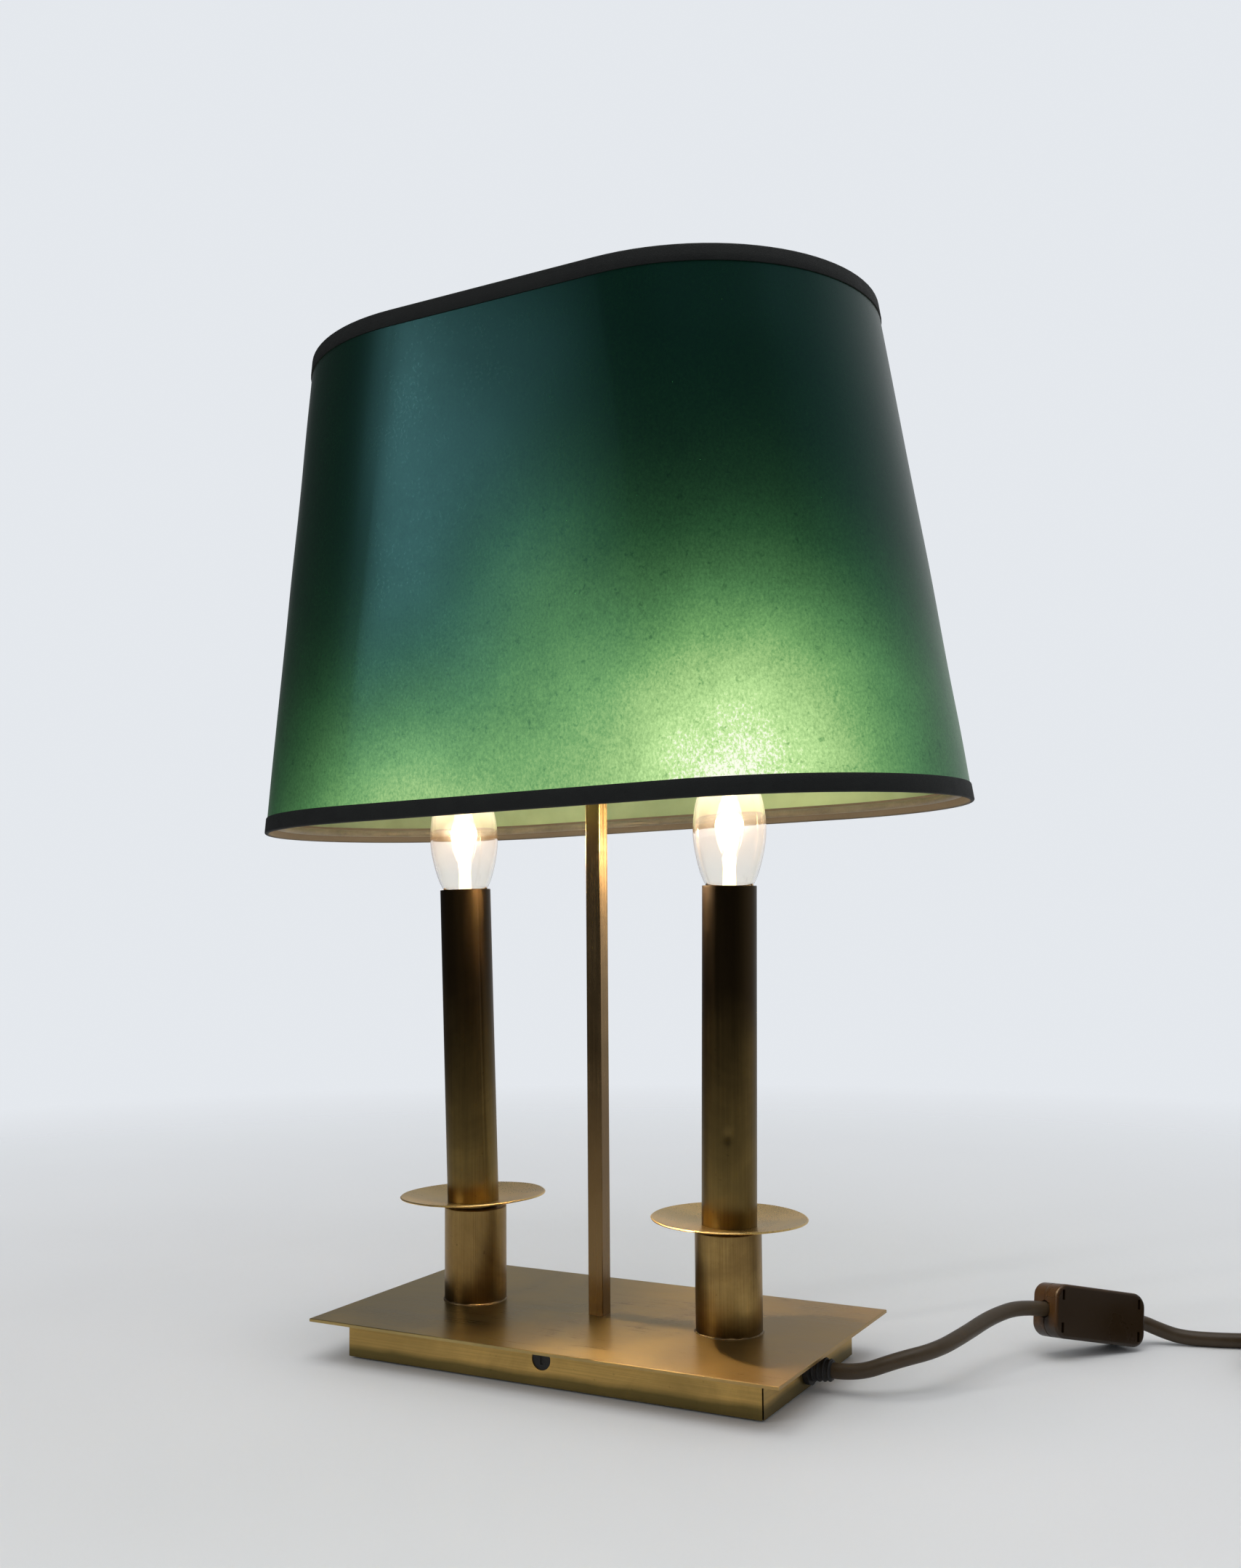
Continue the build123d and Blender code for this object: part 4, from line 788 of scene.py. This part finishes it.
paper, tree, shader = finish_of("shade_paper", PAPER, 0.29, Specular_IOR_Level=0.40)
shader.inputs["Specular Tint"].default_value = (*PAPER_SHEEN, 1.0)
place = place_of(tree)
pulp = mottle(tree, place, 46.0, detail=6.0, Roughness=0.65)
fibres = mottle(tree, place, 950.0, detail=3.0, stretch=(1.0, 1.0, 0.7), Roughness=0.7)
flecks = sums(tree, "MULTIPLY_ADD", fibres, 0.7, sums(tree, "MULTIPLY", pulp, 0.3))
passing = spread(tree, flecks, 0.34, 0.66, 0.70, 1.24)
shreds = spread(tree, mottle(tree, place, 330.0, detail=3.0, Distortion=0.6), 0.62, 0.74, 1.0, 0.66)
lit = sums(tree, "MULTIPLY", lit_by_bulbs(tree, place), sums(tree, "MULTIPLY", passing, shreds))
shining(paper, shades(tree, lit, PAPER_GLOW))
colour = shades(tree, spread(tree, flecks, 0.35, 0.65), [(0.0, PAPER_DARK), (1.0, PAPER)])
rough = spread(tree, flecks, 0.35, 0.65, 0.31, 0.27)

# the paper's normals turn a little before its flat sides end, so its sheen has no hard edge
at = parts_of(tree, place)
flat_low, flat_high = ((length - width) / 2 for length, width in (SHADE_LOW, SHADE_HIGH))
narrowing = (flat_high - flat_low) / SHADE_HEIGHT
flat_end = sums(tree, "MULTIPLY_ADD", at["Z"], narrowing, flat_low - narrowing * SHADE_FOOT)
past = sums(tree, "ABSOLUTE", sums(tree, "SUBTRACT", sums(tree, "ABSOLUTE", at["X"]), flat_end))
ease = sums(tree, "ADD", sums(tree, "EXPONENT", sums(tree, "DIVIDE", past, -BEND_EASE)), 1.0)
ease = sums(tree, "MULTIPLY", sums(tree, "LOGARITHM", ease, exp(1.0)), 2 * BEND_EASE / SHADE_LOW[1])
ease = node(tree, "CombineXYZ", {"X": sums(tree, "MULTIPLY", sums(tree, "SIGN", at["X"]), ease)})
eased = aims(tree, "ADD", node(tree, "NewGeometry").outputs["Normal"], ease.outputs["Vector"])
coated(tree, colour, rough, flecks, 0.2, 0.0001, Normal=aims(tree, "NORMALIZE", eased))

stations = oval_stations(SIDE_STATIONS, END_STATIONS)
lapped = stations + stations[:SEAM_STATIONS]


def seam_lap(number):
    """How far the paper's last stations stand out, on top of its first ones."""
    return SEAM_RISE * min(1.0, max(0.0, (number - len(stations) + 2) / 2))


shape = swept(lapped, wall_section(0.0, PAPER_THICK - PAPER_SLACK), paper_stray, seam_lap)
piece("paper_cone", shape, paper, "shade", "shade_paper", "shade_paper")

lining, tree, _ = finish_of("shade_lining", LINING, 0.8)
place = place_of(tree)
cloud = mottle(tree, place, 60.0, detail=6.0)
colour = shades(tree, spread(tree, cloud, 0.3, 0.7), [(0.0, LINING_DARK), (1.0, LINING)])
rough = spread(tree, cloud, 0.3, 0.7, 0.79, 0.81)
coated(tree, colour, rough, mottle(tree, place, 700.0), 0.2, 0.0002)
shining(lining, shades(tree, lit_by_bulbs(tree, place), LINING_GLOW), 0.8)
shape = swept(stations, wall_section(-PAPER_THICK - GLUE, PAPER_THICK), paper_stray)
piece("lining_cone", shape, lining, "shade", "shade_lining", "shade_lining")

# --- Shade tapes ----------------------------------------------------------------------------------
# Black woven tape is folded over the paper's two edges and glued down on both sides, so that each
# edge of the shade ends in a round fold.
TAPE_HEIGHT, TAPE_THICK, TAPE_EDGE = 0.0072, 0.0006, 0.0003
TAPE, TAPE_DARK = (0.011, 0.013, 0.012), (0.006, 0.007, 0.007)
TAPE_GLOW = [(0.0, (0.0, 0.0, 0.0)), (1.0, (0.17, 0.115, 0.06))]


def tape_section(edge, inwards):
    """A folded tape's section over an edge at a height, its fold away from the shade."""
    out, back = TAPE_THICK + GLUE, -2 * PAPER_THICK - 2 * GLUE - TAPE_THICK
    middle, radius = (out + back) / 2, (out - back) / 2
    reach = inwards * TAPE_HEIGHT
    turns = [pi * step / 10 for step in range(11)]
    fold = [(middle + radius * cos(turn), edge - inwards * radius * 0.75 * sin(turn)) for turn in turns]
    far_side = [(back, edge + reach * 0.5), (back, edge + reach), (back + TAPE_THICK, edge + reach)]
    slot = [(back + TAPE_THICK, edge - inwards * GLUE), (GLUE, edge - inwards * GLUE)]
    near_side = [(GLUE, edge + reach), (GLUE + TAPE_THICK * 0.7, edge + reach)]
    near_side += [(out, edge + reach - inwards * TAPE_EDGE), (out, edge + reach * 0.5)]
    return fold + far_side + slot + near_side


black = plain(
    "black_tape", TAPE, TAPE_DARK, 0.62, clouds=90.0, relief=0.9, grain=2400.0, Specular_IOR_Level=0.25
)

# the bulbs shine on the inner side of the tapes from close by
tree = black.node_tree
inwards = aims(tree, "NORMALIZE", aims(tree, "MULTIPLY", place_of(tree), (-1.0, -1.0, 0.0)))
facing = aims(tree, "DOT_PRODUCT", node(tree, "NewGeometry").outputs["Normal"], inwards)
shining(black, shades(tree, spread(tree, facing, 0.15, 0.8), TAPE_GLOW), 0.8)

tapes = (("tape_bottom", "tape_low", 0.0, 1.0), ("tape_top", "tape_high", SHADE_HEIGHT, -1.0))
for name, stands_for, edge, inwards in tapes:
    shape = swept(stations, tape_section(edge, inwards))
    piece(name, shape, black, "shade", "black_tape", stands_for, sharp=50.0)

# --- Shade wires ----------------------------------------------------------------------------------
# Two oval rings of round wire stiffen the shade's edges, and four arms join the upper one to a
# washer, all welded and painted cream.
CREAM, CREAM_DARK = (0.27, 0.23, 0.15), (0.16, 0.13, 0.08)
cream = plain("painted_wire", CREAM, CREAM_DARK, 0.45, clouds=80.0)
dress(cream, "shade_rings", "shade_spider")

# --- Cord -----------------------------------------------------------------------------------------
# A round brown two-core cord with a smooth PVC sheath. It rises from the base to its switch, comes
# down to the table behind it, and the length that isn't needed is coiled and tied.
CORD = 0.007
SHEATH, SHEATH_DARK = (0.058, 0.038, 0.019), (0.048, 0.031, 0.015)
TIE, TIE_DARK = (0.022, 0.022, 0.024), (0.010, 0.010, 0.011)
sheath = plain(
    "cord_sheath", SHEATH, SHEATH_DARK, 0.4, clouds=140.0, relief=0.15, grain=700.0, Specular_IOR_Level=0.35
)
dress(sheath, "cord_sheath", "inner_wires")


def cord_along(name, points, *stands_for):
    """A round cord that follows the given points in a smooth line."""
    line = bpy.data.curves.new(name, "CURVE")
    line.dimensions = "3D"
    spline = line.splines.new("NURBS")
    spline.points.add(len(points) - 1)
    for control, point in zip(spline.points, points):
        control.co = (*point, 1.0)
    spline.use_endpoint_u = True
    spline.order_u = 3
    spline.resolution_u = 8
    line.bevel_depth = CORD / 2
    line.bevel_resolution = 6
    line.use_fill_caps = True
    line.materials.append(sheath)
    made = bpy.data.objects.new(name, line)
    bpy.context.scene.collection.objects.link(made)
    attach(made, "base")
    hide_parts(*stands_for)
    return made


lamp_route = [
    (0.1210, -0.0034, 0.0100),
    (0.1325, -0.0034, 0.0100),
    (0.1492, 0.0014, 0.0168),
    (0.1630, 0.0158, 0.0193),
    (0.1700, 0.0378, 0.0221),
    (0.1755, 0.0634, 0.0248),
    (0.18410, 0.08708, 0.02529),
    (0.19503, 0.09965, 0.02193),
]
lamp_cord = cord_along("lamp_cord", lamp_route, "cord_lamp")

COIL = (0.3280, 0.1280)
OUTER_TURN, INNER_TURN, COIL_LAYERS = 0.0420, 0.0350, 4
# how far the cord turns in each stretch of the coil, in degrees
FIRST_RUN, LEVEL_RUN, LAST_RUN, CROSSING, CLIMB, COIL_STEP = 260, 185, 246, 100, 75, 20
mains_route = [
    (0.22397, 0.13295, 0.01303),
    (0.22976, 0.13960, 0.01126),
    (0.2377, 0.1450, 0.0068),
    (0.2482, 0.1476, 0.0035),
    (0.2680, 0.1520, 0.0035),
    (0.2870, 0.1610, 0.0035),
    (0.30868, 0.16916, 0.0035),
]
# in the coil the cord runs level, crosses to the layer's other turn, runs level and climbs a layer
coil_steps = [(0, OUTER_TURN, CORD / 2), (FIRST_RUN, OUTER_TURN, CORD / 2)]
for layer in range(COIL_LAYERS):
    radius, high = (INNER_TURN, OUTER_TURN)[layer % 2], CORD * (layer + 0.5)
    coil_steps.append((coil_steps[-1][0] + CROSSING, radius, high))
    if layer == COIL_LAYERS - 1:
        coil_steps.append((coil_steps[-1][0] + LAST_RUN, radius, high))
    else:
        coil_steps.append((coil_steps[-1][0] + LEVEL_RUN, radius, high))
        coil_steps.append((coil_steps[-1][0] + CLIMB, radius, high + CORD))
        coil_steps.append((coil_steps[-1][0] + LEVEL_RUN, radius, high + CORD))
for travel in range(0, coil_steps[-1][0], COIL_STEP):
    before, after = next(pair for pair in zip(coil_steps, coil_steps[1:]) if travel < pair[1][0])
    share = (1.0 - cos(pi * (travel - before[0]) / (after[0] - before[0]))) / 2
    radius, high = (before[i] + share * (after[i] - before[i]) for i in (1, 2))
    angle = radians(90 - travel)
    mains_route.append((COIL[0] + radius * cos(angle), COIL[1] + radius * sin(angle), high))
mains_route += [
    (0.3700, 0.1280, 0.0245),
    (0.3702, 0.1070, 0.0233),
    (0.3710, 0.0797, 0.0130),
    (0.3710, 0.0629, 0.0130),
]
mains_cord = cord_along("mains_cord", mains_route, "cord_mains", "cord_coil", "cord_tail")
tie = plain("tie_fabric", TIE, TIE_DARK, 0.85, clouds=300.0, relief=1.0, grain=2600.0)
dress(tie, "coil_tie")

# --- In-line switch -------------------------------------------------------------------------------
# A case of two halves moulded in brown plastic, clipped together over the cord, with a rocker in
# one face and small slots for prising the clips in the other.
SWITCH, SWITCH_DARK = (0.024, 0.0125, 0.0042), (0.020, 0.0105, 0.0036)
ROCKER, ROCKER_DARK = (0.025, 0.018, 0.012), (0.015, 0.011, 0.008)
CASE_MIDDLE = (0.2095, 0.1163, 0.01748)
CASE_LENGTH, CASE_WIDTH, CASE_CORNER = 0.0530, 0.0252, 0.0065
CASE_TURN, CASE_PITCH, CASE_ROLL = radians(49.0), radians(-11.4), radians(9.0)
SEAM_HALF, SEAM_DEPTH, NEAR_SEAM = 0.00045, 0.0004, 2e-5


def facing_of(turn, pitch, roll):
    """The directions ahead, up and to the right of a thing that is turned, pitched and rolled."""
    ahead = Vector((cos(turn) * cos(pitch), sin(turn) * cos(pitch), sin(pitch)))
    level = Vector((sin(turn), -cos(turn), 0.0))
    upright = level.cross(ahead)
    up = upright * cos(roll) - level * sin(roll)
    right = level * cos(roll) + upright * sin(roll)
    return ahead, up, right


brown = plain("switch_plastic", SWITCH, SWITCH_DARK, 0.3, clouds=30.0, relief=0.1, Specular_IOR_Level=0.30)
dress(brown, "plug_body")
dress(plain("rocker_plastic", ROCKER, ROCKER_DARK, 0.4, clouds=120.0, relief=0.15), "switch_rocker")

case_along, case_up, case_out = facing_of(CASE_TURN, CASE_PITCH, CASE_ROLL)
case_turn = Matrix((case_along, case_up, case_out)).transposed().to_4x4()
case_place = Matrix.Translation(CASE_MIDDLE) @ case_turn
case_away = case_place.inverted()
core = (CASE_LENGTH / 2 - CASE_CORNER, CASE_WIDTH / 2 - CASE_CORNER)

# the two halves keep their shapes, and get a groove along the line where they meet
switch_pieces = [frame["nodes"][name] for name in ("switch_rocker", "switch_terminals")]
for node_name, face in (("switch_base", 1.0), ("switch_cover", -1.0)):
    form = bmesh.new()
    form.from_mesh(frame["nodes"][node_name].data)
    bmesh.ops.remove_doubles(form, verts=form.verts, dist=1e-6)
    whole = form.verts[:] + form.edges[:] + form.faces[:]
    cut = case_place @ Vector((0.0, 0.0, face * SEAM_HALF))
    bmesh.ops.bisect_plane(form, geom=whole, dist=1e-7, plane_co=cut, plane_no=case_out)
    for vert in form.verts:
        local = case_away @ vert.co
        nearest = Vector([max(-reach, min(reach, at)) for at, reach in zip(local.xy, core)])
        out = local.xy - nearest
        if abs(local.z) < NEAR_SEAM and out.length > CASE_CORNER - SEAM_DEPTH:
            flat = nearest + out * (1.0 - SEAM_DEPTH / out.length)
            vert.co = case_place @ Vector((*flat, local.z))
    points = [vert.co.copy() for vert in form.verts]
    faces = [tuple(vert.index for vert in face.verts) for face in form.faces]
    form.free()
    name = f"half_{node_name}"
    half = piece(name, (points, faces), brown, "base", "switch_plastic", node_name, sharp=32.0)
    switch_pieces.append(half)

# --- Camera, floor and light ----------------------------------------------------------------------
# The lamp stands on a plain pale floor that fades into a pale backdrop. A narrow light far to its
# left draws the sheen on the shade, a wide one above fills in, and its own bulbs are lit.
EYE_PLACE, EYE_LENS, EYE_SHIFT = (0.3734, -0.6850, 0.2170), 35.993, (0.00692, 0.00806)
EYE_TURN, EYE_PITCH, EYE_ROLL = radians(118.1), radians(4.12), radians(-0.42)
FLOOR_HALF, FLOOR_FADE = 6.0, (0.32, 1.2)
FLOOR, FLOOR_DARK = (0.80, 0.80, 0.80), (0.79, 0.79, 0.79)
ROOM_LIGHT, BACKDROP = (0.93, 0.96, 1.0, 1.0), (0.78, 0.81, 0.85, 1.0)
ROOM_MIRRORED = [(0.0, (0.06, 0.062, 0.068)), (1.0, (0.52, 0.53, 0.54))]
SPARK_POWER, SPARK_COLOUR, SPARK_RADIUS = 5.5, (1.0, 0.76, 0.48), 0.0075

eye = bpy.data.cameras.new("eye")
eye.lens = EYE_LENS
eye.sensor_width = 36.0
eye.shift_x, eye.shift_y = EYE_SHIFT
eye.clip_end = 50.0
forward, up, right = facing_of(EYE_TURN, EYE_PITCH, EYE_ROLL)
camera = bpy.data.objects.new("camera", eye)
eye_turn = Matrix((right, up, -forward)).transposed().to_4x4()
camera.matrix_world = Matrix.Translation(EYE_PLACE) @ eye_turn
bpy.context.scene.collection.objects.link(camera)
bpy.context.scene.camera = camera

floor_mesh = bpy.data.meshes.new("floor")
corners = [(x * FLOOR_HALF, y * FLOOR_HALF, 0.0) for x, y in ((-1, -1), (1, -1), (1, 1), (-1, 1))]
floor_mesh.from_pydata(corners, [], [(0, 1, 2, 3)])
floor_paint = plain("floor_paint", FLOOR, FLOOR_DARK, 0.6, clouds=3.0, relief=0.05)
tree = floor_paint.node_tree
away = aims(tree, "LENGTH", place_of(tree))
painted = tree.nodes["Principled BSDF"].outputs["BSDF"]
clear = node(tree, "BsdfTransparent").outputs["BSDF"]
fade = node(tree, "MixShader", {0: spread(tree, away, *FLOOR_FADE), 1: painted, 2: clear})
tree.links.new(fade.outputs["Shader"], tree.nodes["Material Output"].inputs["Surface"])
floor_mesh.materials.append(floor_paint)
floor = bpy.data.objects.new("floor", floor_mesh)
bpy.context.scene.collection.objects.link(floor)

world = bpy.data.worlds.new("studio")
world.use_nodes = True
bpy.context.scene.world = world
tree = world.node_tree
tree.nodes.clear()
rays = node(tree, "LightPath").outputs
seen = sums(tree, "MAXIMUM", rays["Is Camera Ray"], rays["Is Transmission Ray"])
towards = parts_of(tree, node(tree, "TexCoord").outputs["Generated"])
towards = sums(tree, "MULTIPLY_ADD", towards["X"], 0.5, towards["Y"])
room = shades(tree, spread(tree, towards, 0.0, 0.9), ROOM_MIRRORED)
lighting = node(tree, "Background", {"Color": ROOM_LIGHT, "Strength": 0.5}).outputs["Background"]
mirrored = node(tree, "Background", {"Color": room, "Strength": 1.0}).outputs["Background"]
behind = node(tree, "Background", {"Color": BACKDROP, "Strength": 1.0}).outputs["Background"]
unseen = node(tree, "MixShader", {0: rays["Is Glossy Ray"], 1: lighting, 2: mirrored}).outputs["Shader"]
both = node(tree, "MixShader", {0: seen, 1: unseen, 2: behind}).outputs["Shader"]
node(tree, "OutputWorld", {"Surface": both})


def soft_light(name, place, aim, size, power):
    """A soft white rectangular light that faces a point."""
    made = bpy.data.lights.new(name, "AREA")
    made.shape = "RECTANGLE"
    made.size, made.size_y = size
    made.energy = power
    stand = bpy.data.objects.new(name, made)
    facing = (Vector(aim) - Vector(place)).to_track_quat("-Z", "Y").to_matrix().to_4x4()
    stand.matrix_world = Matrix.Translation(place) @ facing
    bpy.context.scene.collection.objects.link(stand)
    return stand


key = soft_light("soft_key", (-1.11, -1.49, 0.90), (-0.03, -0.095, 0.40), (0.08, 0.62), 4.0)
soft_light("soft_top", (0.2, -0.2, 2.0), (0.0, 0.0, 0.2), (2.0, 2.0), 22.0)

# the key light leaves the stem's front dark
unlit = bpy.data.collections.new("unlit_by_key")
unlit.objects.link(frame["nodes"]["stem"])
unlit.collection_objects[0].light_linking.link_state = "EXCLUDE"
key.light_linking.receiver_collection = unlit

# the lit filaments shine on the metal, the bulbs and the switch; the paper's own finish holds what
# they do to the shade
near_bulbs = {plate_brass, tray_brass, socket_brass, pan_brass, candle_brass, stem_brass, solder, glass}
near_bulbs.add(brown)
shone_on = bpy.data.collections.new("shone_on_by_bulbs")
for made in bpy.context.scene.objects:
    if near_bulbs & {slot.material for slot in made.material_slots}:
        shone_on.objects.link(made)
for side, place in candle_places.items():
    spark = bpy.data.lights.new(f"spark_{side}", "POINT")
    spark.energy = SPARK_POWER
    spark.color = SPARK_COLOUR
    spark.shadow_soft_size = SPARK_RADIUS
    held = bpy.data.objects.new(f"spark_{side}", spark)
    held.location = place @ Vector((0.0, 0.0, BULB_BASE + BULB_HEIGHT / 2))
    held.light_linking.receiver_collection = shone_on
    bpy.context.scene.collection.objects.link(held)

bpy.context.scene.view_settings.view_transform = "Standard"
